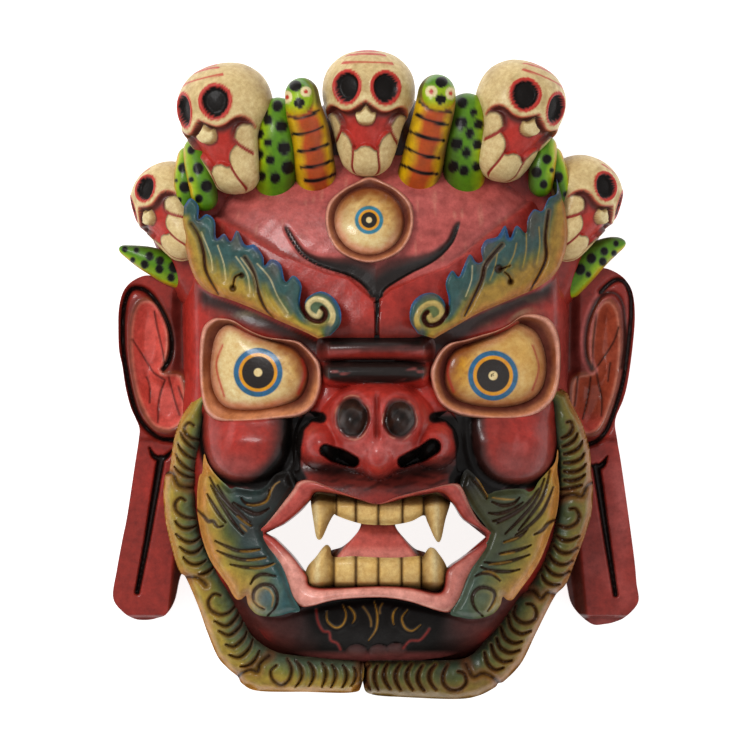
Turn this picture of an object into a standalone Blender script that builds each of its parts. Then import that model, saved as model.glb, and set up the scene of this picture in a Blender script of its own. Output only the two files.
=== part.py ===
"""A carved wooden bhairab mask, lying on its flat back with the face up.

+X runs to the right across the face, +Y up to the crown of skulls and +Z out of the face. The back
lies in the plane z = 0. The whole mask is one carved block: the forms of the face are joined to a
hollow head, and then the mouth, the nostrils and the sockets of the skulls are cut.
"""

import math

import bmesh
import bpy
import numpy as np

MM = 0.001

# The head: a dome on a closed edge. Points run down its right half, from the crown to the chin.
HEAD_EDGE = ((0, 142), (48, 138), (88, 122), (114, 92), (122, 50), (122, 0), (125, -50),
             (121, -100), (106, -142), (80, -172), (42, -186), (0, -188))
HEAD_CENTRE = (0, -22)
HEAD_DEPTH = 84
HEAD_FULLNESS = 3.0
WALL = 13
HEAD_SPOKES = 48
HEAD_RINGS = 13
VOXEL = 1.8  # the finest form that the tools leave
MOST_TRIANGLES = 9400
BELOW = -6  # the depth to which forms run below the back before the back is cut flat

# Swellings and hollows of the face: centre x, centre y, half-width, half-height, rise.
SWELLINGS = ((0, 78, 62, 40, 8), (0, 28, 34, 26, 10), (-73, 2, 34, 24, -12), (73, 2, 34, 24, -12),
             (0, -100, 58, 46, 16), (0, -158, 56, 20, 9))

THIRD_EYE = (-4, 95)
THIRD_EYE_RIM = 24
RIM_TUBE = 5.5
THIRD_RIM_TUBE = 4.5

# Rounded forms of the face: centre and half-sizes.
FACE_FORMS = {
    "eye_ball_left": ((-73, 4, 58), (32, 26, 25)),
    "eye_ball_right": ((73, 4, 58), (32, 26, 25)),
    "third_eye_ball": ((-4, 95, 68), (21, 21, 19)),
    "bridge_fold_upper": ((0, 13, 96), (32, 7, 11)),
    "bridge_fold_lower": ((-1, 0, 101), (33, 9, 13)),
    "nose_bridge": ((0, -18, 102), (28, 26, 27)),
    "nose_mass": ((1, -43, 92), (46, 20, 33)),
    "nose_bulb_left": ((-14, -30, 114), (15, 18, 23)),
    "nose_bulb_right": ((14, -30, 114), (15, 18, 23)),
    "nose_wing_left": ((-35, -43, 101), (15.5, 15, 21)),
    "nose_wing_right": ((35, -43, 101), (15.5, 15, 21)),
    "nose_tip": ((1.5, -50, 108), (14, 15, 22)),
    "cheek_left": ((-86, -46, 50), (25, 22, 33)),
    "cheek_right": ((87, -46, 50), (25, 22, 33)),
    "chin": ((0, -157, 60), (46, 20, 33)),
}

# Half of the eye's rim, the brow and the beard: the left side mirrors the right one.
EYE_RIM = ((39, 0), (43, 11), (54, 18), (70, 23), (86, 31), (98, 32), (107, 24), (110, 8),
           (109, -10), (103, -23), (86, -26), (66, -24), (48, -19), (40, -10))
BROW_LEAF = ((114, 114), (109, 110), (103, 98), (98, 101), (93, 88), (88, 92), (83, 83), (79, 90),
             (66, 80), (62, 69), (58, 73), (51, 59), (46, 62), (44, 48), (36, 50), (24, 46),
             (20, 36), (25, 26), (36, 23), (60, 36), (90, 48), (110, 58), (118, 78), (118, 100))
INNER_BEARD = ((106, -48), (111, -64), (112, -84), (108, -103), (98, -122), (86, -140), (80, -137),
               (77, -146), (66, -150), (48, -147), (54, -136), (60, -121), (76, -101), (62, -88),
               (57, -74), (70, -68), (84, -70), (97, -64))
BAND_OUTER = ((111, -9), (122, -20), (131, -45), (134, -70), (131, -95), (122, -121), (110, -144),
              (98, -166), (86, -185), (74, -195), (50, -201), (20, -201), (0, -199))
BAND_INNER = ((0, -178), (50, -176), (68, -168), (79, -155), (90, -136), (101, -118), (109, -99),
              (112, -80), (110, -56), (107, -32), (104, -16))

# Slabs of relief on each side: bottom, top, chamfer, and how they lean back from where.
LEAF_SLAB = {"bottom": 70, "top": 101, "edge": 2, "lean": 0.37, "lean_from": 34}
BEARD_SLAB = {"bottom": 60, "top": 94, "edge": 3, "lean": 0.52, "lean_from": 55}
BAND_SLAB = {"bottom": 8, "top": 58, "edge": 4}

# The mouth, right half, from the middle of the upper lip to the middle of the lower lip.
LIP_LINE = ((1, -78), (20, -73), (38, -69), (49, -71), (56, -84), (64, -94), (73, -100), (64, -110),
            (55, -124), (48, -139), (40, -141), (20, -136), (1, -135))
OPENING = ((1, -81), (16, -77), (37, -73), (47, -79), (54, -90), (68, -100), (54, -113), (45, -121),
           (41, -134), (20, -132), (1, -131))
LIP_THICKNESS = 5.5
LIP_FRONT = 103
LIP_SWEEP = 26
MOUTH_CUT = (30, 150)

# Teeth and tongue: blocks by their lower and upper corners, fangs by base, tip and half-width.
TOOTH_BLOCKS = {
    "upper_gum": ((-41, -76, 74), (46, -66, 96)),
    "lower_gum": ((-43, -138.6, 70), (45, -129, 92)),
    "upper_tooth_0": ((-24.5, -90.5, 80), (-12.8, -70, 99)),
    "upper_tooth_1": ((-11.8, -91.5, 80), (1.0, -70, 99)),
    "upper_tooth_2": ((2.0, -91.5, 80), (15.9, -70, 99)),
    "upper_tooth_3": ((16.9, -90.5, 80), (29.5, -70, 99)),
    "lower_tooth_0": ((-25.5, -134, 76), (-12.8, -113, 96)),
    "lower_tooth_1": ((-11.8, -134, 76), (1.0, -113, 96)),
    "lower_tooth_2": ((2.0, -134, 76), (15.4, -113, 96)),
    "lower_tooth_3": ((16.4, -134, 76), (28.0, -113, 96)),
}
FANGS = {
    "upper_fang_left": ((-33, -70, 88), (-35, -103, 92), 8.5),
    "upper_fang_right": ((37.5, -71, 88), (38.5, -104, 92), 8.5),
    "lower_fang_left": ((-35, -135, 85), (-31, -107, 90), 8.5),
    "lower_fang_right": ((37, -136, 85), (34, -108, 90), 8.5),
}
FANG_POINT = 1.2
TONGUE = ((-9, -86), (12, -86), (13, -95), (30, -118), (-28, -118), (-11, -95))
TONGUE_SLAB = {"bottom": 70, "top": 88, "edge": 2}

# Nostrils: the ends of each slot. They are cut as tall ovals about one height over the back.
NOSTRILS = {"left": ((-32, -46.5), (-13, -54)), "right": ((35, -45.5), (16, -53.5))}
NOSTRIL_RADIUS = 3.6
NOSTRIL_HEIGHT = 124
NOSTRIL_STRETCH = 6

# Each ear is a slab with a long lobe hanging from it.
EAR = ((112, 50), (128, 55), (143, 64), (152, 61), (160, 48), (161, 30), (159, 5), (155, -14),
       (149, -34), (112, -44))
LOBE = ((112, -30), (149, -30), (155, -75), (161, -115), (164, -141), (157, -149), (146, -154.5),
        (132, -152), (124, -142), (118, -122))
EAR_SLAB = {"bottom": BELOW, "top": 36, "edge": 4}
LOBE_TOP = 31
LOBE_SLAB = {"bottom": BELOW, "top": LOBE_TOP, "edge": 6}
EAR_DISH = ((141.5, 8, 44), (15, 43, 20))
LOBE_GROOVE = ((136, -58), (142, -95), (148, -138))
LOBE_GROOVE_RADIUS = 2.6

# Skulls of the crown: crown x and y, half-width, height, turn outwards in degrees.
SKULLS = {"left_low": (-133, 132, 22, 62, -50), "left": (-96, 193, 28, 80, -32),
          "middle": (-5, 201, 28.5, 78, 0), "right": (91, 196, 27, 77, 32),
          "right_low": (133, 136, 22, 66, 50)}
SKULL_FRONT = {"left_low": 58, "left": 72, "middle": 78, "right": 72, "right_low": 58}
CRANIUM_SHARE = 0.93  # the cranium's half-height, as a share of its half-width
CRANIUM_FORWARD = 20
JAW_DROP = 0.6  # the middle of the jaw, as a share of the skull's height below its crown
JAW_SHARES = (0.78, 0.4, 0.85)  # of the half-width, the height and the half-width
SOCKET_SPREAD = 27  # the angle of a socket from the front, in degrees
SOCKET_DROP = 0.88  # the socket's middle, as a share of the half-width below the crown
SOCKET_SIZES = (7, 8, 7)
FRONT_BACK = 6  # how far the jaw and the sockets lie behind the front

# Snakes: the path of each one's middle, with the tube's radius at each point.
SNAKES = {
    "head_left": ((-34, 112, 70, 12), (-40, 140, 84, 11), (-46, 168, 84, 12), (-48, 177, 78, 9)),
    "head_right": ((25, 114, 70, 13), (30, 140, 84, 12), (37, 168, 84, 13), (39, 178, 78, 10)),
    "body_left": ((-60, 108, 52, 13), (-61, 138, 60, 14), (-60, 158, 48, 12)),
    "body_right": ((54, 112, 52, 13), (55, 140, 60, 14), (56, 162, 48, 12)),
    "coil_left": ((-108, 100, 56, 9), (-114, 124, 58, 10), (-119, 140, 46, 8)),
    "coil_right": ((108, 100, 56, 10), (112, 124, 58, 11), (106, 144, 46, 9)),
    "tail_left": ((-112, 66, 40, 11), (-136, 70, 44, 9), (-150, 75, 42, 5), (-157, 78, 40, 2)),
    "tail_right": ((112, 62, 40, 12), (134, 72, 44, 10), (148, 79, 42, 6), (153, 82, 40, 3)),
}

CROWN = ((100, 20), (124, 40), (138, 72), (144, 96), (130, 122), (110, 140), (96, 176), (70, 168),
         (38, 158), (12, 184), (-20, 184), (-46, 158), (-72, 168), (-98, 176), (-112, 140),
         (-130, 122), (-144, 96), (-138, 70), (-124, 40), (-100, 20))
CROWN_SLAB = {"bottom": BELOW, "top": 44, "edge": 3}
BACK_CUT = ((-200, -240, 4 * BELOW), (200, 240, 0))

WOOD = ("painted_wood", (0.33, 0.05, 0.04, 1.0), 0.35)


def mirrored(points):
    """The same points on the left side."""
    return [(-x, y) for x, y in points]


def both_halves(right):
    """A closed outline from its right half, whose ends lie near the middle plane."""
    return list(right) + mirrored(reversed(right[1:-1]))


def smooth_loop(points, count):
    """Points spaced evenly in number along a closed Catmull-Rom curve through the given ones."""
    corners = np.array(points, float)
    steps = np.arange(count) * len(corners) / count
    start = steps.astype(int)
    part = (steps - start)[:, None]
    a, b, c, d = (corners[(start + shift) % len(corners)] for shift in (-1, 0, 1, 2))
    return 0.5 * (2 * b + (c - a) * part + (2 * a - 5 * b + 4 * c - d) * part ** 2
                  + (3 * b - a - 3 * c + d) * part ** 3)


def edge_radius(angle):
    """The distance from the head's centre to its edge, in a direction."""
    loop = smooth_loop(both_halves(HEAD_EDGE), 4 * HEAD_SPOKES) - HEAD_CENTRE
    angles = np.arctan2(loop[:, 1], loop[:, 0])
    return np.interp(angle, angles, np.hypot(loop[:, 0], loop[:, 1]), period=2 * math.pi)


def swelling(x, y):
    """How far the face stands out from the plain dome."""
    return sum(rise * math.exp(-((x - cx) / wide) ** 2 - ((y - cy) / high) ** 2)
               for cx, cy, wide, high, rise in SWELLINGS)


def face_height(x, y):
    """The height of the face over its back."""
    from_middle = math.hypot(x - HEAD_CENTRE[0], y - HEAD_CENTRE[1])
    share = from_middle / float(edge_radius(math.atan2(y - HEAD_CENTRE[1], x - HEAD_CENTRE[0])))
    dome = max(0.0, 1 - share ** HEAD_FULLNESS) ** (1 / HEAD_FULLNESS)
    return HEAD_DEPTH * dome + swelling(x, y) * min(1.0, 3 * dome ** 2)


def new_object(name, mesh, collection):
    thing = bpy.data.objects.new(name, mesh)
    collection.objects.link(thing)
    return thing


def from_bmesh(name, shape, collection):
    """A new object from a bmesh in millimetres, with its faces pointing outwards."""
    bmesh.ops.scale(shape, vec=(MM, MM, MM), verts=shape.verts)
    bmesh.ops.triangulate(shape, faces=shape.faces)
    bmesh.ops.recalc_face_normals(shape, faces=shape.faces)
    mesh = bpy.data.meshes.new(name)
    shape.to_mesh(mesh)
    shape.free()
    return new_object(name, mesh, collection)


def dome(name, collection, inset, base, depth, spokes, rings, carved):
    """Half of a sphere drawn out to the head's edge, closed by a flat base."""
    shape = bmesh.new()
    bmesh.ops.create_uvsphere(shape, u_segments=spokes, v_segments=2 * rings, radius=1)
    lower = [v for v in shape.verts if v.co.z < -1e-4]
    bmesh.ops.delete(shape, geom=lower, context="VERTS")
    bmesh.ops.holes_fill(shape, edges=[e for e in shape.edges if e.is_boundary])
    power = 2 / HEAD_FULLNESS
    for vertex in shape.verts:
        angle = math.atan2(vertex.co.y, vertex.co.x)
        outward = min(1.0, math.hypot(vertex.co.x, vertex.co.y)) ** power
        radius = (float(edge_radius(angle)) - inset) * outward
        vertex.co.x = HEAD_CENTRE[0] + radius * math.cos(angle)
        vertex.co.y = HEAD_CENTRE[1] + radius * math.sin(angle)
        rise = max(0.0, vertex.co.z) ** power
        vertex.co.z = base + depth * rise
        if carved:
            vertex.co.z += swelling(vertex.co.x, vertex.co.y) * min(1.0, 3 * rise ** 2)
    return from_bmesh(name, shape, collection)


def blob(name, collection, centre, radii, turn=0.0, segments=14):
    """An ellipsoid, turned about the vertical of the face by an angle in degrees."""
    shape = bmesh.new()
    bmesh.ops.create_uvsphere(shape, u_segments=segments, v_segments=segments * 5 // 8, radius=1)
    bmesh.ops.scale(shape, vec=radii, verts=shape.verts)
    thing = from_bmesh(name, shape, collection)
    thing.location = [MM * value for value in centre]
    thing.rotation_euler.y = math.radians(turn)
    return thing


def mesh_from_curve(curve, collection):
    """A curve object made a mesh object, with its caps welded."""
    evaluated = curve.evaluated_get(bpy.context.evaluated_depsgraph_get())
    mesh = bpy.data.meshes.new_from_object(evaluated)
    name = curve.name
    bpy.data.objects.remove(curve)
    shape = bmesh.new()
    shape.from_mesh(mesh)
    bmesh.ops.remove_doubles(shape, verts=shape.verts, dist=0.00001)
    bmesh.ops.triangulate(shape, faces=shape.faces)
    bmesh.ops.recalc_face_normals(shape, faces=shape.faces)
    shape.to_mesh(mesh)
    shape.free()
    mesh.name = name
    return new_object(name, mesh, collection)


def curve_object(name, points, radii, closed, flat):
    curve = bpy.data.curves.new(name, "CURVE")
    curve.dimensions = "2D" if flat else "3D"
    spline = curve.splines.new("POLY")
    spline.points.add(len(points) - 1)
    for place, point, radius in zip(spline.points, points, radii):
        place.co = [MM * value for value in point] + [1.0]
        place.radius = radius
    spline.use_cyclic_u = closed
    thing = bpy.data.objects.new(name, curve)
    bpy.context.scene.collection.objects.link(thing)
    return thing


def tube(name, collection, points, radii, closed=False, resolution=1):
    """A round tube along points, with its radius given at each."""
    thing = curve_object(name, points, radii, closed, flat=False)
    thing.data.bevel_depth = MM
    thing.data.bevel_resolution = resolution
    thing.data.use_fill_caps = True
    bpy.context.view_layer.update()
    return mesh_from_curve(thing, collection)


def slab(name, collection, outline, bottom, top, edge=0.0, lean=0.0, lean_from=0.0):
    """A flat outline with thickness and chamfered edges, leaning back away from the middle plane."""
    points = [(x, y, 0) for x, y in outline]
    thing = curve_object(name, points, [1.0] * len(points), closed=True, flat=True)
    thing.data.fill_mode = "BOTH"
    thing.data.extrude = MM * ((top - bottom) / 2 - edge)
    thing.data.bevel_depth = MM * edge
    thing.data.bevel_resolution = 0
    thing.data.offset = -MM * edge
    bpy.context.view_layer.update()
    thing = mesh_from_curve(thing, collection)
    for vertex in thing.data.vertices:
        vertex.co.z += MM * (bottom + top) / 2
        vertex.co.z -= lean * (abs(vertex.co.x) - MM * lean_from)
    return thing


def box(name, collection, low, high):
    shape = bmesh.new()
    bmesh.ops.create_cube(shape, size=1)
    low = np.array(low, float)
    high = np.array(high, float)
    bmesh.ops.scale(shape, vec=high - low, verts=shape.verts)
    bmesh.ops.translate(shape, vec=(high + low) / 2, verts=shape.verts)
    return from_bmesh(name, shape, collection)


def fang(name, collection, base, tip, wide):
    """A pointed tooth from the middle of its base to its tip."""
    shape = bmesh.new()
    base = np.array(base, float)
    tip = np.array(tip, float)
    length = float(np.linalg.norm(tip - base))
    bmesh.ops.create_cone(shape, cap_ends=True, segments=12, radius1=wide, radius2=FANG_POINT,
                          depth=length)
    downward = -1 if tip[1] < base[1] else 1
    lean = math.atan2(tip[0] - base[0], abs(tip[1] - base[1]))
    thing = from_bmesh(name, shape, collection)
    thing.location = [MM * value for value in (base + tip) / 2]
    thing.rotation_euler = (-downward * math.pi / 2, 0, -downward * lean)
    return thing


def along_face(points, rise):
    """The points laid on the face and raised from it."""
    return [(x, y, face_height(x, y) + rise) for x, y in points]


def eye_rims(forms):
    for side, word in ((-1, "left"), (1, "right")):
        loop = smooth_loop([(side * x, y) for x, y in EYE_RIM], 24)
        rim = [(x, y, 94 - 0.36 * (abs(x) - 35)) for x, y in loop]
        tube(f"eye_rim_{word}", forms, rim, [RIM_TUBE] * len(rim), closed=True)
    turns = np.linspace(0, 2 * math.pi, 20, endpoint=False)
    ring = [(THIRD_EYE[0] + THIRD_EYE_RIM * math.cos(a), THIRD_EYE[1] + THIRD_EYE_RIM * math.sin(a))
            for a in turns]
    tube("third_eye_rim", forms, along_face(ring, 2), [THIRD_RIM_TUBE] * len(ring), closed=True)


def brows_and_beard(forms):
    for word, turn in (("left", mirrored), ("right", list)):
        slab(f"brow_leaf_{word}", forms, turn(BROW_LEAF), **LEAF_SLAB)
        slab(f"inner_beard_{word}", forms, turn(INNER_BEARD), **BEARD_SLAB)
        slab(f"beard_band_{word}", forms, turn(BAND_OUTER + BAND_INNER), **BAND_SLAB)


def lips(forms):
    loop = smooth_loop(both_halves(LIP_LINE), 36)
    path = [(x, y, LIP_FRONT - LIP_SWEEP * (x / 75) ** 2) for x, y in loop]
    tube("lips", forms, path, [LIP_THICKNESS] * len(path), closed=True)


def teeth_and_tongue(forms):
    for name, (low, high) in TOOTH_BLOCKS.items():
        box(name, forms, low, high)
    for name, (base, tip, wide) in FANGS.items():
        fang(name, forms, base, tip, wide)
    slab("tongue", forms, TONGUE, **TONGUE_SLAB)


def ears(forms, cuts):
    for side, word, turn in ((-1, "left", mirrored), (1, "right", list)):
        slab(f"ear_{word}", forms, turn(EAR), **EAR_SLAB)
        slab(f"ear_lobe_{word}", forms, turn(LOBE), **LOBE_SLAB)
        (x, y, z), radii = EAR_DISH
        blob(f"ear_dish_{word}", cuts, (side * x, y, z), radii)
        groove = [(side * x, y, LOBE_TOP) for x, y in LOBE_GROOVE]
        tube(f"lobe_groove_{word}", cuts, groove, [LOBE_GROOVE_RADIUS] * len(groove))


def skulls(forms, cuts):
    for word, (x, y, half, height, turn) in SKULLS.items():
        front = SKULL_FRONT[word]
        round_part = CRANIUM_SHARE * half
        blob(f"skull_{word}", forms, (x, y - round_part, front - round_part + CRANIUM_FORWARD),
             (half, round_part, half), turn, segments=16)
        inward = 4 * math.sin(math.radians(turn))
        jaw = (JAW_SHARES[0] * half, JAW_SHARES[1] * height, JAW_SHARES[2] * half)
        blob(f"skull_jaw_{word}", forms, (x - inward, y - JAW_DROP * height, front - FRONT_BACK), jaw, turn)
        for part in (-1, 1):
            ahead = math.radians(turn + SOCKET_SPREAD * part)
            place = (x + half * math.sin(ahead), y - SOCKET_DROP * half,
                     front - FRONT_BACK + half * math.cos(ahead))
            blob(f"skull_socket_{word}_{part}", cuts, place, SOCKET_SIZES, turn, segments=8)


def snakes(forms):
    for word, stations in SNAKES.items():
        points = [station[:3] for station in stations]
        tube(f"snake_{word}", forms, points, [station[3] for station in stations])


def openings(cuts):
    """The mouth goes right through to the hollow; the nostrils end inside the nose."""
    slab("mouth_cut", cuts, both_halves(OPENING), *MOUTH_CUT)
    for word, ends in NOSTRILS.items():
        path = [(x, y, 0) for x, y in ends]
        nostril = tube(f"nostril_{word}", cuts, path, [NOSTRIL_RADIUS] * len(path))
        for vertex in nostril.data.vertices:
            vertex.co.z = MM * NOSTRIL_HEIGHT + NOSTRIL_STRETCH * vertex.co.z


def boolean(target, operation, collection):
    """Joins or cuts with a collection. EXACT leaves faces without area where these forms meet."""
    step = target.modifiers.new(operation.lower(), "BOOLEAN")
    step.operation = operation
    step.operand_type = "COLLECTION"
    step.collection = collection
    step.solver = "MANIFOLD"


def smooth_over(target):
    """The joined forms worked into one skin, with fewer triangles where it is plain."""
    skin = target.modifiers.new("one_skin", "REMESH")
    skin.mode = "VOXEL"
    skin.voxel_size = MM * VOXEL
    bpy.context.view_layer.update()
    worked = target.evaluated_get(bpy.context.evaluated_depsgraph_get())
    triangles = 2 * len(worked.data.polygons)
    fewer = target.modifiers.new("fewer_triangles", "DECIMATE")
    fewer.ratio = MOST_TRIANGLES / triangles
    fewer.use_collapse_triangulate = True


def helper_collection(name):
    group = bpy.data.collections.new(name)
    bpy.context.scene.collection.children.link(group)
    return group


def paint(thing):
    name, colour, roughness = WOOD
    material = bpy.data.materials.new(name)
    material.use_nodes = True
    shader = material.node_tree.nodes["Principled BSDF"]
    shader.inputs["Base Color"].default_value = colour
    shader.inputs["Roughness"].default_value = roughness
    thing.data.materials.append(material)


def main():
    for thing in list(bpy.data.objects):
        bpy.data.objects.remove(thing)
    made = helper_collection("bhairab_mask")
    forms = helper_collection("carved_forms")
    cuts = helper_collection("cuts")
    teeth = helper_collection("teeth_and_tongue")
    back = helper_collection("back")
    mask = dome("mask", made, 0, BELOW, HEAD_DEPTH - BELOW, HEAD_SPOKES, HEAD_RINGS, carved=True)
    slab("crown", forms, CROWN, **CROWN_SLAB)
    for name, (centre, radii) in FACE_FORMS.items():
        blob(name, forms, centre, radii)
    eye_rims(forms)
    brows_and_beard(forms)
    lips(forms)
    ears(forms, cuts)
    skulls(forms, cuts)
    snakes(forms)
    openings(cuts)
    dome("hollow", cuts, WALL, 2 * BELOW, HEAD_DEPTH - WALL - 2 * BELOW, 32, 8, carved=False)
    box("back_cut", back, *BACK_CUT)
    teeth_and_tongue(teeth)
    boolean(mask, "UNION", forms)
    boolean(mask, "DIFFERENCE", cuts)
    boolean(mask, "UNION", teeth)
    smooth_over(mask)
    boolean(mask, "DIFFERENCE", back)
    for helper in [*forms.objects, *cuts.objects, *teeth.objects, *back.objects]:
        helper.hide_render = True
        helper.display_type = "WIRE"
    paint(mask)


main()
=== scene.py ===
"""The carved and painted surface of a wooden bhairab mask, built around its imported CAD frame.

The mask is drawn in design millimetres: x to the right, y up to the crown and z out of the face,
from the middle of the flat back. Each piece is a fine mesh that is shaped by moving its vertices,
and its paint is worked out for each vertex from the same lines as the carving.
"""

import math
from functools import partial

import bmesh
import bpy
import numpy as np
from bpy.props import FloatProperty, FloatVectorProperty, PointerProperty
from bpy.types import Operator, Panel, PropertyGroup
from mathutils import Matrix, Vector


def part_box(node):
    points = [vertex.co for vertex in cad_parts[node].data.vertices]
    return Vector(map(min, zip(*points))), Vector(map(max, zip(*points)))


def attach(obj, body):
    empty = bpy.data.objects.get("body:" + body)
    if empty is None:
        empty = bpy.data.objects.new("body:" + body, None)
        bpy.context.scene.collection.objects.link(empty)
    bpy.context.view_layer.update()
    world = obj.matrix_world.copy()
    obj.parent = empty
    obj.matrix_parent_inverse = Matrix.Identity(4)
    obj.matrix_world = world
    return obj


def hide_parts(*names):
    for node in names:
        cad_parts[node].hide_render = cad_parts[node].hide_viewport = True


bl_info = {
    "name": "Bhairab mask",
    "version": (1, 0, 0),
    "blender": (4, 5, 0),
    "location": "View3D > Sidebar > Bhairab mask",
    "description": "Carves and paints a wooden bhairab mask",
    "category": "Add Mesh",
}

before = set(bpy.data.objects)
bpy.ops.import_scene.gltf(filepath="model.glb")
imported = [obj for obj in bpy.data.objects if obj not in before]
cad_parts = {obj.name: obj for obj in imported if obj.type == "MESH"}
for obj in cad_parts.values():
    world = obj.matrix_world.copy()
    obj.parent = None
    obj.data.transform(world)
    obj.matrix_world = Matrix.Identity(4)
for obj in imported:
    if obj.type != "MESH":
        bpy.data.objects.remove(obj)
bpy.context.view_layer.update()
LOW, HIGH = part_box("mask")
DESIGN_HEIGHT = 402
UNIT = (HIGH.y - LOW.y) / DESIGN_HEIGHT
ORIGIN = np.array([(LOW.x + HIGH.x) / 2, (LOW.y + HIGH.y) / 2, LOW.z])

# Oil colours, as sRGB hex: name, colour, what it is used for.
PAINTS = (
    ("red", "AE3429", "Red of the face"),
    # Bright red is also painted light, on the middle of the cheeks and the left side of the head.
    ("bright_red", "C8352A", "Bright red beside the eyes and in the skulls' mouths"),
    ("rose", "D66F69", "Rose where the red is worn and catches the light"),
    # Maroon is also painted shade, where the red turns from the light, lies on the right or sinks into
    # hollows.
    ("maroon", "5E2B25", "Maroon in the hollows of the red"),
    ("black", "15110F", "Black of the deep grooves"),
    # Near-black glaze of the chin and grooves, also used as painted shadow under the brows and painted shade
    # on shaded sides.
    ("soot", "241D1A", "Black glaze of the chin and under the brows"),
    # Cream is also mixed into painted highlights on the skulls, the fangs and the black under the brows.
    ("cream", "F0DFA8", "Cream of the eyes"),
    ("golden", "DDAA48", "Golden glaze on the balls of the eyes"),
    # Ochre is also painted shade round the edges of the eyes' balls, and part of the painted light on the
    # snakes' lit edges.
    ("ochre", "A87B34", "Ochre glaze round the eyes"),
    ("iris_blue", "2C6C9C", "Blue ring of the iris"),
    ("iris_sky", "3485A6", "Paler blue ring of the third eye"),
    ("iris_yellow", "E8A31C", "Yellow ring of the iris"),
    # Rim pink is also a painted highlight round the hollows of the nose.
    ("rim_pink", "EBA68A", "Pink edge of the eyes' rims"),
    ("rim_orange", "DB8B50", "Ochre orange of the eyes' rims"),
    # Rim brown is also painted shadow beside the cuts of the beard's band.
    ("rim_brown", "8F4A26", "Brown of the eyes' rims"),
    ("bone", "E9D299", "Bone colour of the skulls"),
    ("old_bone", "9C7A3E", "Stained bone"),
    ("tooth", "E8C070", "Yellowed ivory of the teeth"),
    # Brown of stains at the roots of the teeth, also painted shade at their edges, gaps and right side.
    ("tooth_stain_and_shade", "7E5A26", "Stain at the roots of the teeth"),
    ("lip", "D8665A", "Pink red of the lips"),
    # Pale pink is also a painted highlight along the upper lip's edge.
    ("lip_light", "FAAE9C", "Pale pink of the edges of the lips"),
    ("tongue", "CE5648", "Red of the tongue"),
    ("snake_green", "578B10", "Green of the snakes"),
    ("dark_green", "405710", "Dark green of the shaded side of the snakes"),
    ("snake_lime", "9CBE12", "Lime green of the snakes"),
    # Yellow is also painted light on the lit edges of the snakes' bodies.
    ("snake_yellow", "E6B808", "Yellow of the snakes' bellies"),
    ("snake_orange", "CB5218", "Orange bands of the snakes' bellies"),
    ("leaf_blue", "2A5F92", "Blue tips of the brows"),
    ("leaf_teal", "365B58", "Teal of the brows and beard"),
    ("leaf_green", "6E7730", "Olive green of the brows and beard"),
    ("leaf_yellow", "BB9A38", "Yellow of the brows and beard"),
    ("leaf_orange", "CF8B3E", "Orange edge of the brows and beard"),
    ("gold", "D9A035", "Thin ochre strokes"),
    # Groove brown is also painted shadow round the skulls' nose teeth and on the lobes' edges, and painted
    # shade on the snakes' necks.
    ("groove_brown", "40200F", "Brown wash in the grooves of the beard"),
    ("ear_red", "EE5E4E", "Light red inside the ears"),
    ("bare_wood", "6B452B", "Bare wood of the back"),
)
# The roughness of the varnish that the finishes below are matched to.
PLAIN_GLOSS = 0.3


def linear(hex_colour):
    """An sRGB hex colour as linear red, green and blue."""
    shares = [int(hex_colour[place:place + 2], 16) / 255 for place in (0, 2, 4)]
    return tuple(s / 12.92 if s <= 0.04045 else ((s + 0.055) / 1.055) ** 2.4 for s in shares)


class MaskPaints(PropertyGroup):
    """The oil colours of the mask."""
    __annotations__ = {
        name: FloatVectorProperty(name=name.replace("_", " ").capitalize(), description=use,
                                  subtype="COLOR", default=linear(code), min=0, max=1)
        for name, code, use in PAINTS}


class MaskCarving(PropertyGroup):
    """Sizes of the carving, in design millimetres."""
    spacing: FloatProperty(name="Spacing", description="Distance between the vertices of a carved piece",
                           default=0.8, min=0.4, max=4)
    tool_marks: FloatProperty(name="Tool marks", description="Height of the carver's tool marks",
                              default=0.25, min=0, max=2)
    gloss: FloatProperty(name="Varnish roughness", description="Roughness of the varnish",
                         default=PLAIN_GLOSS, min=0.05, max=1)


class MaskStage(PropertyGroup):
    """The studio round the mask."""
    camera_height: FloatProperty(name="Camera height", description="Height of the camera over the floor",
                                 default=8, min=1, unit="LENGTH")
    view_width: FloatProperty(name="View width", description="Width that the camera takes in",
                              default=0.465, min=0.1, unit="LENGTH")
    key_power: FloatProperty(name="Key light", description="Power of the main light in watts",
                             default=19, min=0)
    fill_power: FloatProperty(name="Fill light", description="Power of the fill light in watts",
                              default=5, min=0)
    table_glow: FloatProperty(name="Table glow", description="How brightly the white table is lit from below",
                              default=0.85, min=0)


def paint(name):
    """The colour of a paint, by its name."""
    return np.array(getattr(bpy.context.scene.mask_paints, name))


def carving():
    """The sizes of the carving that a user may set."""
    return bpy.context.scene.mask_carving


# ---------------------------------------------------------------- lines, areas and colours

FAR = 1e9


def smooth(points, count, closed=True):
    """Points along a Catmull-Rom curve through the given ones."""
    corners = np.array(points, float)
    total = len(corners)
    steps = np.linspace(0, total if closed else total - 1, count, endpoint=not closed)
    start = np.minimum(steps.astype(int), total - (1 if closed else 2))
    part = (steps - start)[:, None]
    if closed:
        a, b, c, d = (corners[(start + shift) % total] for shift in (-1, 0, 1, 2))
    else:
        a, b, c, d = (corners[np.clip(start + shift, 0, total - 1)] for shift in (-1, 0, 1, 2))
    return 0.5 * (2 * b + (c - a) * part + (2 * a - 5 * b + 4 * c - d) * part ** 2
                  + (3 * b - a - 3 * c + d) * part ** 3)


def curve(points, count):
    """Points along a smooth line with two ends."""
    return smooth(points, count, closed=False)


def bow(start, middle, end, count):
    """Points along a bow that runs through three points."""
    start, middle, end = (np.array(point, float) for point in (start, middle, end))
    pull = 2 * middle - (start + end) / 2
    share = np.linspace(0, 1, count)[:, None]
    return start * (1 - share) ** 2 + 2 * pull * share * (1 - share) + end * share ** 2


def stroke_line(points, count):
    """Points along a cut or a brush stroke: a bow where it has three points."""
    return bow(*points, count) if len(points) == 3 else curve(points, count)


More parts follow.
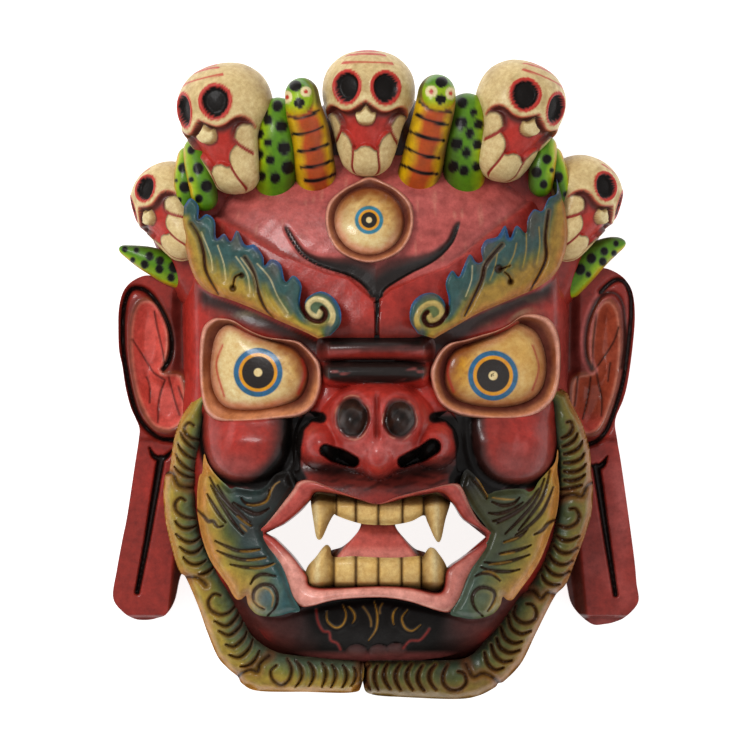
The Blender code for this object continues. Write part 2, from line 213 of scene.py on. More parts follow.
def to_line(x, y, line, closed=False):
    """Distance to a line of points, and how far along it the nearest point lies, from 0 to 1."""
    line = np.asarray(line, float)
    if closed:
        line = np.vstack([line, line[:1]])
    ways = np.diff(line, axis=0)
    lengths = np.maximum(np.hypot(ways[:, 0], ways[:, 1]), 1e-9)
    before = np.concatenate([[0], np.cumsum(lengths)])
    nearest = np.full(x.shape, FAR)
    along = np.zeros(x.shape)
    for start, way, length, passed in zip(line, ways, lengths, before):
        share = np.clip(((x - start[0]) * way[0] + (y - start[1]) * way[1]) / length ** 2, 0, 1)
        distance = np.hypot(x - start[0] - share * way[0], y - start[1] - share * way[1])
        closer = distance < nearest
        nearest = np.where(closer, distance, nearest)
        along = np.where(closer, passed + share * length, along)
    return nearest, along / before[-1]


def distance_to(x, y, line):
    """Distance to a line of points."""
    return to_line(x, y, line)[0]


def nearest_of(x, y, lines, count=14, thin=0):
    """The distance to the nearest of several smooth lines, that may thin out towards their ends."""
    nearest = np.full(x.shape, FAR)
    for line in lines:
        distance, along = to_line(x, y, stroke_line(line, count))
        fullness = 1 - thin + thin * np.sin(math.pi * np.clip(along, 0.04, 0.96))
        nearest = np.minimum(nearest, distance / fullness)
    return nearest


def depth_in(x, y, loop):
    """Distance inside a closed loop: negative outside it."""
    loop = np.asarray(loop, float)
    distance = to_line(x, y, loop, closed=True)[0]
    crossings = np.zeros(x.shape, int)
    for a, b in zip(loop, np.roll(loop, -1, axis=0)):
        spans = (a[1] > y) != (b[1] > y)
        rise = b[1] - a[1] if b[1] != a[1] else 1e-9
        crossings += spans & (x < (b[0] - a[0]) * (y - a[1]) / rise + a[0])
    return np.where(crossings % 2 == 1, distance, -distance)


def ramp(low, high, value):
    """0 below low, 1 above high and smooth between. It falls instead where low is over high."""
    share = np.clip((value - low) / (high - low), 0, 1)
    return share * share * (3 - 2 * share)


def ridge(distance, width):
    """1 on a line, fading to nothing over a width on each side."""
    return np.exp(-(distance / width) ** 2)


def hump(x, y, cx, cy, wide, high):
    """1 at a centre, fading over a half-width and a half-height."""
    return np.exp(-((x - cx) / wide) ** 2 - ((y - cy) / high) ** 2)


def ball(x, y, cx, cy, wide, high):
    """The height of half an ellipsoid over its base, 0 outside it."""
    return np.sqrt(np.clip(1 - ((x - cx) / wide) ** 2 - ((y - cy) / high) ** 2, 0, 1))


def blend_up(heights, softness=2):
    """The highest of several heights, with soft joins."""
    stack = np.array(heights) / softness
    top = stack.max(axis=0)
    return softness * (top + np.log(np.exp(stack - top).sum(axis=0)))


def colour_of(tint):
    """The colour of a paint that is named, or the tint itself where it is a colour already."""
    return paint(tint) if isinstance(tint, str) else tint


def mix(first, second, share):
    """Two colours mixed: the share is that of the second."""
    share = np.asarray(share)[..., None]
    return colour_of(first) * (1 - share) + colour_of(second) * share


def coats(colour, layers):
    """A colour under coats of paint, laid in turn: each has its tint and how much it covers."""
    for tint, cover in layers:
        colour = mix(colour, tint, cover)
    return colour


def blends(share, *stops):
    """A colour from stops of (share, paint name)."""
    places = [place for place, _ in stops]
    colours = np.array([paint(name) for _, name in stops])
    return np.stack([np.interp(share, places, colours[:, part]) for part in range(3)], axis=-1)


def wander(x, y, size, turn=0):
    """A slow, even unevenness from -1 to 1, as of a hand tool or a brush."""
    u = (x * math.cos(turn) + y * math.sin(turn)) / size
    v = (y * math.cos(turn) - x * math.sin(turn)) / size
    return (np.sin(u + 1.7 * np.sin(0.7 * v + turn)) + np.sin(1.3 * v + 1.3 * np.sin(0.9 * u))
            + 0.6 * np.sin(2.3 * u - 1.9 * v + 2 * turn)) / 2.6


def mottle(x, y, size, turn=0):
    """The same unevenness from 0 to 1."""
    return 0.5 + 0.5 * wander(x, y, size, turn)


def around(centre, radii, angles):
    """The x and y of places at given distances and angles from a centre."""
    return centre[0] + radii * np.cos(angles), centre[1] + radii * np.sin(angles)


def full_turn(count):
    """Angles right round, from behind to behind."""
    return np.linspace(-math.pi, math.pi, count, endpoint=False)


# ---------------------------------------------------------------- materials

def add_node(tree, kind, settings=None, links=None):
    """A node with its settings, its socket values and its links from other sockets."""
    node = tree.nodes.new(kind)
    for name, value in (settings or {}).items():
        if name in node.inputs:
            node.inputs[name].default_value = value
        else:
            setattr(node, name, value)
    for name, source in (links or {}).items():
        tree.links.new(source, node.inputs[name])
    return node


def blank_material(name):
    """A material with no shader yet, its node tree and the place on the piece."""
    material = bpy.data.materials.new(name)
    material.use_nodes = True
    tree = material.node_tree
    tree.nodes.clear()
    return material, tree, add_node(tree, "ShaderNodeTexCoord").outputs["Object"]


# The brown of the pits, the gloss of the paint, and how much of the gloss is left on black grooves.
PIT_BROWN = "3A2412"
GLOSS = 0.25
MATT_SHARE = 0.45


def varnished_paint(name, glaze, mottling, specks, roughness, coat, grain_mm):
    """Oil paint on carved wood, glazed brown by rubbing and varnished.

    The glaze gathers in small patches and pits, which mottles the colour, and the varnish is
    thinner on some patches than on others, so the gloss is uneven. Black grooves stay matt."""
    material, tree, place = blank_material(name)
    colour = add_node(tree, "ShaderNodeAttribute", {"attribute_name": "paint"}).outputs["Color"]
    patches, pits, strokes = (
        add_node(tree, "ShaderNodeTexNoise",
                 {"Scale": 1 / (grain_mm * UNIT * times), "Detail": detail, "Roughness": rough},
                 {"Vector": place}).outputs["Fac"]
        for times, detail, rough in ((7, 7, 0.7), (1, 3, 0.7), (2.5, 4, 0.6)))
    aged = colour
    for tint, blend, where, low, high, most in (
            (glaze, "MULTIPLY", patches, 0.68, 0.32, mottling),
            (PIT_BROWN, "MIX", pits, 0.62, 0.74, specks)):
        share = add_node(tree, "ShaderNodeMapRange",
                         {"From Min": low, "From Max": high, "To Min": 0, "To Max": most},
                         {"Value": where})
        layer = add_node(tree, "ShaderNodeMix", {"data_type": "RGBA", "blend_type": blend},
                         {"Factor": share.outputs["Result"]})
        tree.links.new(aged, layer.inputs[6])
        layer.inputs[7].default_value = (*linear(tint), 1)
        aged = layer.outputs[2]
    uneven = add_node(tree, "ShaderNodeBump", {"Strength": 0.35, "Distance": 0.0006}, {"Height": strokes})
    lightness = add_node(tree, "ShaderNodeRGBToBW", None, {"Color": colour}).outputs["Val"]
    sheen, gloss, varnish = (
        add_node(tree, "ShaderNodeMapRange",
                 {"From Min": low, "From Max": high, "To Min": least, "To Max": most},
                 {"Value": value}).outputs["Result"]
        for value, low, high, least, most in (
            (patches, 0.3, 0.7, roughness + 0.08, roughness - 0.05),
            (lightness, 0.006, 0.015, MATT_SHARE * GLOSS, GLOSS),
            (lightness, 0.006, 0.015, MATT_SHARE * coat, coat)))
    shader = add_node(tree, "ShaderNodeBsdfPrincipled",
                      {"IOR": 1.5, "Coat Roughness": 0.11, "Coat IOR": 1.45},
                      {"Base Color": aged, "Roughness": sheen, "Specular IOR Level": gloss,
                       "Coat Weight": varnish, "Normal": uneven.outputs["Normal"]})
    add_node(tree, "ShaderNodeOutputMaterial", None, {"Surface": shader.outputs["BSDF"]})
    return material


def stained_wood(name):
    """Bare wood stained brown, as the hollow behind a mask is left: matt, with long grain."""
    material, tree, place = blank_material(name)
    stretch = add_node(tree, "ShaderNodeMapping", {"Scale": (1, 0.08, 1)}, {"Vector": place})
    grain = add_node(tree, "ShaderNodeTexNoise", {"Scale": 1 / (3 * UNIT), "Detail": 8, "Roughness": 0.65},
                     {"Vector": stretch.outputs["Vector"]})
    gouges = add_node(tree, "ShaderNodeTexNoise", {"Scale": 1 / (14 * UNIT), "Detail": 2},
                      {"Vector": place})
    tones = add_node(tree, "ShaderNodeValToRGB", None, {"Fac": grain.outputs["Fac"]})
    for stop, code, share in zip(tones.color_ramp.elements, ("4A2C19", "8A5F3B"), (0.32, 0.7)):
        stop.color = (*linear(code), 1)
        stop.position = share
    relief = add_node(tree, "ShaderNodeMath", {"operation": "ADD"},
                      {0: grain.outputs["Fac"], 1: gouges.outputs["Fac"]})
    uneven = add_node(tree, "ShaderNodeBump", {"Strength": 0.5, "Distance": 0.0008},
                      {"Height": relief.outputs["Value"]})
    shader = add_node(tree, "ShaderNodeBsdfPrincipled", {"Roughness": 0.62, "IOR": 1.5},
                      {"Base Color": tones.outputs["Color"], "Normal": uneven.outputs["Normal"]})
    add_node(tree, "ShaderNodeOutputMaterial", None, {"Surface": shader.outputs["BSDF"]})
    return material


# Each painted finish: its glaze, mottling, specks, roughness, coat of varnish and grain in mm.
FINISHES = {
    # Red oil paint, rubbed with dark glaze and varnished: warm, worn and softly glossy.
    "varnished_red_paint": ("8A5A50", 0.6, 0.35, 0.32, 0.22, 0.9),
    # The leaves' blended blues, greens and ochres, a little duller than the red.
    "varnished_leaf_paint": ("8F8268", 0.6, 0.35, 0.38, 0.15, 0.8),
    # Thin black paint on the chin, nearly without varnish.
    "dull_black_paint": ("8A5A50", 0.5, 0.35, 0.55, 0.03, 0.9),
    # Cream paint stained brown in fine specks, like old bone and ivory.
    "bone_paint": ("B98F52", 0.55, 0.7, 0.42, 0.12, 0.45),
    # Cream with a honey glaze under the most varnish, so that the eyes shine.
    "eye_paint": ("D9B070", 0.7, 0.3, 0.3, 0.35, 0.6),
    # Bright greens and yellows under a thin coat of varnish.
    "snake_paint": ("9C9068", 0.45, 0.3, 0.38, 0.15, 0.8),
}


def finish_named(name):
    """The material of a finish, made once."""
    made = bpy.data.materials.get(name)
    if made:
        return made
    if name == "stained_wood":
        return stained_wood(name)
    glaze, mottling, specks, roughness, coat, grain = FINISHES[name]
    roughness += carving().gloss - PLAIN_GLOSS
    return varnished_paint(name, glaze, mottling, specks, roughness, coat, grain)


# ---------------------------------------------------------------- making pieces

def read(data, name, kind=np.float32, size=1):
    """The values of one property of a mesh's vertices, corners or faces."""
    values = np.empty(size * len(data), kind)
    data.foreach_get(name, values)
    return values


def raw_points(mesh):
    """A mesh's vertices as they stand."""
    return read(mesh.vertices, "co", size=3).reshape(-1, 3).astype(float)


def design_points(mesh):
    """A mesh's vertices in design millimetres."""
    return (raw_points(mesh) - ORIGIN) / UNIT


def place_points(mesh, points):
    """Moves a mesh's vertices to places given in design millimetres."""
    mesh.vertices.foreach_set("co", (points * UNIT + ORIGIN).astype(np.float32).ravel())
    mesh.update()


def new_piece(name, shape):
    """An object from a bmesh."""
    mesh = bpy.data.meshes.new(name)
    shape.to_mesh(mesh)
    shape.free()
    piece = bpy.data.objects.new(name, mesh)
    bpy.context.scene.collection.objects.link(piece)
    return piece


def face_out(mesh):
    """Turns a closed mesh's faces outwards."""
    shape = bmesh.new()
    shape.from_mesh(mesh)
    bmesh.ops.recalc_face_normals(shape, faces=shape.faces)
    shape.to_mesh(mesh)
    shape.free()


def cut_piece(piece, tool, operation):
    """Applies a Boolean with a tool to a piece and removes the tool."""
    step = piece.modifiers.new("cut", "BOOLEAN")
    step.operation = operation
    step.object = tool
    step.solver = "MANIFOLD"
    bpy.context.view_layer.update()
    worked = bpy.data.meshes.new_from_object(
        piece.evaluated_get(bpy.context.evaluated_depsgraph_get()))
    piece.modifiers.clear()
    old = piece.data
    piece.data = worked
    bpy.data.meshes.remove(old)
    bpy.data.objects.remove(tool)


def prism(outline, low, high, levels=1):
    """A closed block with a flat outline, from a low to a high place in z, with rings between."""
    outline = np.asarray(outline, float)
    shape = bmesh.new()
    bmesh.ops.create_circle(shape, cap_ends=True, segments=len(outline), radius=1)
    shape.verts.ensure_lookup_table()
    for vertex, (x, y) in zip(shape.verts, outline):
        vertex.co = ORIGIN + UNIT * np.array([x, y, low])
    made = bmesh.ops.extrude_face_region(shape, geom=shape.faces[:])["geom"]
    moved = [part for part in made if isinstance(part, bmesh.types.BMVert)]
    bmesh.ops.translate(shape, vec=(0, 0, UNIT * (high - low)), verts=moved)
    upright = [edge for edge in shape.edges if abs(edge.verts[0].co.z - edge.verts[1].co.z) > 1e-6]
    bmesh.ops.subdivide_edges(shape, edges=upright, cuts=levels - 1, use_grid_fill=True)
    bmesh.ops.recalc_face_normals(shape, faces=shape.faces)
    return new_piece("tool", shape)


def finish_piece(piece, colours, finish, sharp=None):
    """Gives a piece its paint, its material, its shading and its place in the frame."""
    layer = piece.data.color_attributes.new("paint", "FLOAT_COLOR", "POINT")
    full = np.ones((len(colours), 4), np.float32)
    full[:, :3] = np.clip(colours, 0, 1)
    layer.data.foreach_set("color", full.ravel())
    piece.data.materials.clear()
    piece.data.materials.append(finish_named(finish))
    piece.data.shade_smooth()
    if sharp:
        piece.data.set_sharp_from_angle(angle=math.radians(sharp))
    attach(piece, "root")
    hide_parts("mask")


CUTTER_HEIGHT = 120
CUTTER_RINGS = 20


def carve(name, outline, design, finish, back, spacing=None, sides="maroon"):
    """A carved form: its front follows a design inside an outline, and it is flat at its back.

    design(x, y) gives the height and the colour of the front, and sides is the paint low on its
    sides. What would stand in the hollow of the head is cut away."""
    outline = np.asarray(outline, float)
    spacing = spacing or carving().spacing
    low = outline.min(axis=0) - 1
    high = outline.max(axis=0) + 1
    cells = np.maximum(4, np.ceil((high - low) / spacing).astype(int))
    shape = bmesh.new()
    bmesh.ops.create_grid(shape, x_segments=int(cells[0]), y_segments=int(cells[1]), size=1)
    edge = [e for e in shape.edges if e.is_boundary]
    made = bmesh.ops.extrude_edge_only(shape, edges=edge)
    lower = [part for part in made["geom"] if isinstance(part, bmesh.types.BMVert)]
    bmesh.ops.translate(shape, vec=(0, 0, -1), verts=lower)
    bmesh.ops.holes_fill(shape, edges=[e for e in shape.edges if e.is_boundary])
    piece = new_piece(name, shape)
    u, v, w = raw_points(piece.data).T
    x = low[0] + (u + 1) / 2 * (high[0] - low[0])
    y = low[1] + (v + 1) / 2 * (high[1] - low[1])
    z = np.where(w < -0.5, back - 1, np.maximum(design(x, y)[0], back + 0.5))
    place_points(piece.data, np.stack([x, y, z], axis=-1))
    face_out(piece.data)
    cut_piece(piece, prism(outline, back, back + CUTTER_HEIGHT, levels=CUTTER_RINGS), "INTERSECT")
    if back < HEAD_DEPTH - WALL and (head_reach(*outline.T, WALL / 2) < 1).any():
        cut_piece(piece, head_hollow(WALL / 2), "DIFFERENCE")
    points = design_points(piece.data)
    height, colours = design(points[:, 0], points[:, 1])
    below = ramp(0.4, 5, height - points[:, 2])
    finish_piece(piece, mix(colours, sides, 0.75 * below), finish, sharp=48)


def loft(name, rings, design, finish, ends="closed", hollow=False):
    """A form through closed rings of points: rings is an array of rows, places and x, y, z.

    ends is closed where the last row meets the first, poles where both ends run to a point and
    caps where they are filled. design(x, y, z, row, column) gives the colour, with row and column
    from 0 to 1 along and round the form. Where hollow is true, what would stand in the hollow of
    the head is cut away."""
    rows, places = rings.shape[:2]
    shape = bmesh.new()
    bmesh.ops.create_grid(shape, x_segments=places, y_segments=rows - 1, size=1)
    row_layer = shape.verts.layers.float.new("row")
    column_layer = shape.verts.layers.float.new("column")
    for vertex in shape.verts:
        column = round((vertex.co.x + 1) / 2 * places) % places
        row = round((vertex.co.y + 1) / 2 * (rows - 1))
        vertex[row_layer] = row / (rows - 1)
        vertex[column_layer] = column / places
        vertex.co = ORIGIN + UNIT * rings[row, column]
    bmesh.ops.remove_doubles(shape, verts=shape.verts, dist=1e-3 * UNIT)
    if ends == "caps":
        bmesh.ops.holes_fill(shape, edges=[e for e in shape.edges if e.is_boundary])
    bmesh.ops.recalc_face_normals(shape, faces=shape.faces)
    if shape.calc_volume(signed=True) < 0:
        bmesh.ops.reverse_faces(shape, faces=shape.faces)
    piece = new_piece(name, shape)
    if hollow:
        cut_piece(piece, head_hollow(WALL / 2), "DIFFERENCE")
    row, column = (read(piece.data.attributes[way].data, "value") for way in ("row", "column"))
    x, y, z = design_points(piece.data).T
    finish_piece(piece, design(x, y, z, row, column), finish)


# ---------------------------------------------------------------- head

# The right half of the head's edge, from the crown down to the chin.
HEAD_EDGE = (
    (0, 150), (50, 147), (92, 129), (116, 96), (122, 50), (122, 0), (125, -50), (121, -100), (106, -142),
    (80, -172), (42, -186), (0, -188))
HEAD_CENTRE = np.array([0, -22])
HEAD_DEPTH = 84
HEAD_FULLNESS = 3.0
WALL = 13
HEAD_LOOP = smooth(HEAD_EDGE + tuple((-x, y) for x, y in HEAD_EDGE[-2:0:-1]), 320) - HEAD_CENTRE
HEAD_ANGLES = np.arctan2(HEAD_LOOP[:, 1], HEAD_LOOP[:, 0])
HEAD_RADII = np.hypot(HEAD_LOOP[:, 0], HEAD_LOOP[:, 1])

# Swellings of the face: centre x and y, half-width, half-height and rise.
SWELLINGS = ((0, 78, 62, 40, 8), (0, 28, 34, 26, 10), (0, -100, 58, 46, 16), (0, -158, 56, 20, 9))

# The opening of the mouth: its left half from the upper lip down, then its right half back up.
OPENING_LEFT = (
    (1.5, -80.5), (-12, -77), (-24.5, -74), (-37, -73), (-41, -78), (-47, -85), (-57, -93), (-68, -98.5),
    (-62, -102), (-51, -113), (-43, -124), (-37, -132), (2, -131))
OPENING_RIGHT = (
    (21, -132), (40, -135), (44, -121), (54, -113), (68, -101), (54, -90), (47, -79.5), (38, -73),
    (16.4, -76.6))

# The furrow over the brows, the upper edge of the ridge below it, the part of the forehead that is
# carved finely, and the cheeks, each with its centre, half-width and half-height.
FURROW = (
    (-57.6, 94), (-55.7, 88.5), (-50.7, 79.7), (-45.6, 73.3), (-38, 68.3), (-27.9, 64.5), (-17.8, 61.3),
    (-10.2, 56.9), (-5.1, 51.8), (-2.4, 47.5), (3, 47.5), (4.5, 51), (8.9, 55), (21.6, 62.6),
    (31.7, 67.6), (39.3, 72.7), (46.9, 80.9), (50.7, 89.8), (52.6, 97))
RIDGE = (
    (-125, 106), (-109, 103), (-83.6, 89.8), (-59.5, 75.2), (-45, 68.5), (-30, 62.5), (-17, 59.5),
    (0, 44), (9, 52), (27.9, 60.7), (44.4, 67), (57, 75.9), (67.1, 84.7), (77.3, 92.3), (89.9, 102.4),
    (100, 111), (125, 120))
FOREHEAD = (
    (0, 21), (24, 23), (33, 40), (46, 62), (60, 80), (60, 100), (36, 106), (0, 108), (-40, 106),
    (-66, 100), (-64, 84), (-48, 62), (-34, 44), (-24, 23))
CHEEKS = ((-80, -34, 27, 32.5), (86.5, -34.5, 26.5, 33))


def edge_radius(angle):
    """The distance from the middle of the head to its edge."""
    return np.interp(angle, HEAD_ANGLES, HEAD_RADII, period=2 * math.pi)


def swelling(x, y):
    """How much the swellings raise the plain head."""
    return sum(rise * hump(x, y, cx, cy, wide, high) for cx, cy, wide, high, rise in SWELLINGS)


def head_reach(x, y, inset=0):
    """How far out a place lies: 0 in the middle of the head and 1 on its edge, less an inset."""
    dx, dy = x - HEAD_CENTRE[0], y - HEAD_CENTRE[1]
    return np.hypot(dx, dy) / (edge_radius(np.arctan2(dy, dx)) - inset)


def head_height(x, y):
    """The height of the plain head under the carving."""
    dome = np.clip(1 - head_reach(x, y) ** HEAD_FULLNESS, 0, 1) ** (1 / HEAD_FULLNESS)
    return HEAD_DEPTH * dome + swelling(x, y) * np.minimum(1, 3 * dome ** 2)


def cheek_paint(x, y, reach):
    """The red of the round cheeks, with painted light and shade as they turn from the light, painted
    highlights and a painted reflection, and the black crease round them.
    """
    inward = np.clip((84 - np.abs(x)) / 26, -1, 1)
    turn = reach * (0.86 + 0.14 * ramp(-0.3, 0.4, inward)) + 0.08 * ramp(-50, -64, y)
    turn = np.maximum(turn + 0.24 * ramp(0.1, 1, inward), 0.4 + 0.62 * inward)
    turn += 0.04 * wander(x, y, 6)
    # Painted light and shade: bright red where the cheek faces the light, darker as it turns away, towards
    # the nose and below.
    flesh = blends(turn, (0.25, "bright_red"), (0.5, "red"), (0.76, "red"), (0.95, "maroon"), (1.08, "black"))
    # A painted reflection: a pale band low on each cheek.
    painted_sheen = mix("rose", "maroon", 0.5)
    flesh = mix(flesh, painted_sheen, 0.6 * ridge(y + 57, 7) * ramp(1.06, 0.85, turn) * ramp(0.7, 0, inward))
    patchy = ramp(0, 0.7, wander(x, 0.6 * y, 3, 0.3))
    # Rose patches are painted highlights, and maroon on the right cheek is painted shade.
    flesh = coats(flesh, (
        ("rose", 0.5 * patchy * (hump(x, y, -88, -36, 6, 12) + hump(x, y, 84, -44, 14, 8))),
        ("maroon", 0.25 * ramp(40, 60, x))))
    crease = ramp(2.6, 2.1, turn) * ramp(-20, -27, y)
    crease *= np.maximum(ramp(-0.3, 0.3, inward), ramp(1.22, 1.1, reach))
    return flesh, crease


def head_relief(x, y):
    """The finer carving of the head over its plain shape, and its colour."""
    side = np.abs(x)
    tone = mottle(x, y, 17)
    # The furrow and its stem down to the nose. Its dark side lies along its upper edge.
    furrow = curve(FURROW, 90)
    to_furrow, along = to_line(x, y, furrow)
    over = np.where(y > np.interp(x, *furrow.T), to_furrow, -to_furrow)
    spread = 3.5 + 17 * np.exp(-(x / 30) ** 2)
    dark = ramp(1, 0, over / spread) * ramp(-1, 0.2, over) * ramp(0, 0.05, along) * ramp(1, 0.95, along)
    stem = ramp(0.5, -0.5, np.abs(x - 0.7) - 1.3 - ramp(34, 50, y)) * ramp(51, 48, y) * ramp(20, 23, y)
    # The ridge under the furrow, and the shade under the brows.
    ridge_edge = np.interp(x, *np.array(RIDGE).T) - y
    band = ramp(-1, 1, ridge_edge) * ramp(16, 30, y)
    below_brow = np.min([distance_to(x, y, curve(edge, 40)) for edge in (BROW_LEFT_LOW, BROW_RIGHT_LOW)],
                        axis=0)
    brow_line = np.interp(side, *np.array(sorted((-px, py) for px, py in BROW_LEFT_LOW)).T)
    beneath = ramp(0, -3, y - brow_line - 4 * ramp(0, 1, x)) * ramp(116, 106, side)
    # The cheeks, and the sockets that the rims of the eyes stand in.
    reach = np.min([(np.abs((x - cx) / wide) ** 2.5 + np.abs((y - cy) / high) ** 2.5) ** 0.4
                    for cx, cy, wide, high in CHEEKS], axis=0)
    cheek = np.sqrt(np.clip(1 - reach ** 2, 0, 1))
    socket = np.maximum(depth_in(x, y, smooth(LEFT_RIM, 60)), depth_in(x, y, smooth(RIGHT_RIM, 60)))
    furrowed = ramp(1, 0, over / spread) * ramp(-1.8, 1.8, over) * ramp(0, 0.08, along) * ramp(1, 0.92, along)
    rise = 3.2 * band - 2.6 * np.maximum(furrowed, stem) - 1.5 * beneath * ramp(12, 3, below_brow)
    rise += 12 * cheek * (0.5 + 0.5 * ramp(-27, -44, y)) * ramp(3, 0, socket) - 11.5 * ramp(0, 6, socket)
    rise -= 2.5 * ridge(reach - 1.12, 0.14) * ramp(-22, -28, y)
    rise += 3 * ramp(104, 112, side) * ramp(60, 40, y) * ramp(-30, -10, y)
    # The paint: red, worn to rose on the forehead and black in the furrow, with painted light on the left
    # side, painted shade on the right, a painted highlight along the ridge and painted shadow under the
    # brows.
    streaks = ramp(0.1, 0.8, wander(x, 3 * y, 9, 0.35))
    # Maroon on the right side is painted shade, and bright red on the left side is painted light.
    colour = mix("red", "maroon", 0.2 * (1 - tone) + 0.25 * ramp(90, 112, x) * ramp(-40, 0, y))
    colour = mix(colour, "bright_red", 0.7 * ramp(-96, -110, x) * ramp(-60, -20, y))
    rosy = mix("rose", "red", 0.3 * tone)
    colour = coats(colour, (
        (rosy, 0.9 * ramp(52, 66, y) * (1 - 0.75 * band)),
        ("maroon", 0.24 * streaks * ramp(20, 50, y)),
        ("rose", 0.15 * ramp(96, 110, x)),
        ("rim_pink", 0.3 * ramp(0.55, 0.9, wander(2 * x, y, 5, 0.9)) * ramp(60, 80, y)),
        # A painted highlight along the ridge's edge, the ridge's bright red, and painted shadow just over its
        # edge.
        ("rose", 0.45 * ridge(ridge_edge - 0.8, 1) * ramp(58, 70, y)),
        ("bright_red", 0.45 * band * ramp(30, 45, y)),
        ("maroon", 0.45 * ridge(ridge_edge + 1.8, 2.2) * ramp(64, 76, y)),
        (mix("maroon", "soot", ramp(0.25, 0.8, dark)), ramp(0.02, 0.4, dark)),
        ("black", ramp(0.7, 1, dark) * ramp(1.8, 0.2, over)),
        ("black", stem),
        ("maroon", 0.5 * ramp(44, 20, side) * ramp(36, 24, y) * ramp(10, 20, y)),
        # Painted shadow under the brows.
        ("soot", 0.95 * beneath * ramp(17, 6, below_brow + 2 * tone))))
    # Painted glints: grey highlights on the black under the brows.
    painted_glints = hump(x, y, -84, 35, 10, 6) + hump(x, y, 84, 38, 14, 8)
    painted_glints *= ramp(-0.3, 0.6, wander(0.5 * x, 2 * y, 4, 0.45))
    colour = mix(colour, mix("soot", "cream", 0.42), 0.55 * painted_glints * beneath)
    flesh, crease = cheek_paint(x, y, reach)
    colour = coats(colour, (
        ("black", crease),
        (flesh, ramp(1.03, 0.99, reach) * ramp(-10, -20, y))))
    return rise, mix(colour, mix("black", "maroon", ramp(30, 80, side)), ramp(-128, -138, y))


def forehead_skin(x, y):
    """The front of the head again, a little proud of it, carved finely where the furrow runs."""
    rise, colour = head_relief(x, y)
    return head_height(x, y) + rise + carving().tool_marks * wander(x, y, 5) + 0.12, colour


# A vertex this far under the front belongs to the hollow.
UNDER_FRONT = 7
# Cells across and down the face and the hollow behind it.
FACE_CELLS = (258, 304)
HOLLOW_CELLS = (56, 60)
HOLLOW_START = -12


def dome_grid(name, inset, base, depth, across, down, carved):
    """A square grid drawn over the head as a dome and closed below by a flat face."""
    shape = bmesh.new()
    bmesh.ops.create_grid(shape, x_segments=across, y_segments=down, size=1)
    bmesh.ops.holes_fill(shape, edges=[e for e in shape.edges if e.is_boundary])
    piece = new_piece(name, shape)
    u, v = raw_points(piece.data)[:, :2].T
    disc_x = u * np.sqrt(1 - v * v / 2)
    disc_y = v * np.sqrt(1 - u * u / 2)
    angle = np.arctan2(disc_y, disc_x)
    turns = np.linspace(0, math.pi / 2, 400)
    power = 2 / HEAD_FULLNESS
    out, up = np.sin(turns) ** power, np.cos(turns) ** power
    steps = np.hypot(np.diff(out) * HEAD_RADII.mean(), np.diff(up) * depth)
    passed = np.concatenate([[0], np.cumsum(steps)]) / steps.sum()
    reach = np.minimum(np.hypot(disc_x, disc_y), 1)
    outward = np.interp(reach, passed, out)
    upward = np.interp(reach, passed, up)
    x, y = around(HEAD_CENTRE, (edge_radius(angle) - inset) * outward, angle)
    z = base + depth * upward
    if carved:
        z += (swelling(x, y) + head_relief(x, y)[0]) * np.minimum(1, 3 * upward ** 2)
        z += carving().tool_marks * wander(x, y, 5) * upward
    place_points(piece.data, np.stack([x, y, z], axis=-1))
    face_out(piece.data)
    return piece


def head_hollow(inset):
    """A tool as large as the hollow of the head, with its wall as thick as the inset."""
    depth = HEAD_DEPTH - inset - HOLLOW_START
    return dome_grid("hollow", inset, HOLLOW_START, depth, *HOLLOW_CELLS, carved=False)


class MASK_OT_head(Operator):
    """Carves the hollow head with the mouth open, and paints the face"""
    bl_idname = "bhairab.head"
    bl_label = "Carve the head"

    def execute(self, context):
        across, down = (cells // 1 for cells in FACE_CELLS)
        piece = dome_grid("face", 0, 0, HEAD_DEPTH, across, down, carved=True)
        cut_piece(piece, head_hollow(WALL), "DIFFERENCE")
        mouth = np.array(OPENING_LEFT + OPENING_RIGHT)
        cut_piece(piece, prism(mouth, 20, 160), "DIFFERENCE")
        x, y, z = design_points(piece.data).T
        inside = (head_reach(x, y, WALL - 1) < 1) & (z < head_height(x, y) - UNDER_FRONT)
        colours = head_relief(x, y)[1]
        colours[inside] = paint("bare_wood")
        finish_piece(piece, colours, "varnished_red_paint", sharp=60)
        piece.data.materials.append(finish_named("stained_wood"))
        corners = read(piece.data.loops, "vertex_index", np.int32)
        starts = read(piece.data.polygons, "loop_start", np.int32)
        bare = np.minimum.reduceat((inside | (z < 0.5))[corners], starts)
        piece.data.polygons.foreach_set("material_index", bare.astype(np.int32))
        carve("forehead", smooth(FOREHEAD, 90), forehead_skin, "varnished_red_paint", back=62, spacing=0.6,
              sides="rose")
        return {"FINISHED"}


# ---------------------------------------------------------------- nose

# The nose and the skin beside and below it, down to the upper lip.
NOSE_OUTLINE = (
    (-34, 23), (0, 24), (34, 23), (36, 4), (40, -16), (49, -26), (53.5, -40), (53.5, -56), (50, -68),
    (38, -72), (20, -76), (2, -80), (-20, -75), (-38, -70), (-48, -68), (-51, -56), (-51.5, -40),
    (-47, -26), (-40, -16), (-36, 4))


# The grooves round the wings of the nose and the shadows under them, left and right.
WING_HOOKS = (
    ((-50, -58), (-49.5, -45), (-47.3, -33), (-41, -26), (-34, -27)),
    ((53, -58), (52.5, -45), (50, -33), (44, -26), (36, -27)))
WING_SHADOWS = (((-44, -58), (-14, -61)), ((46, -58), (16, -61)))


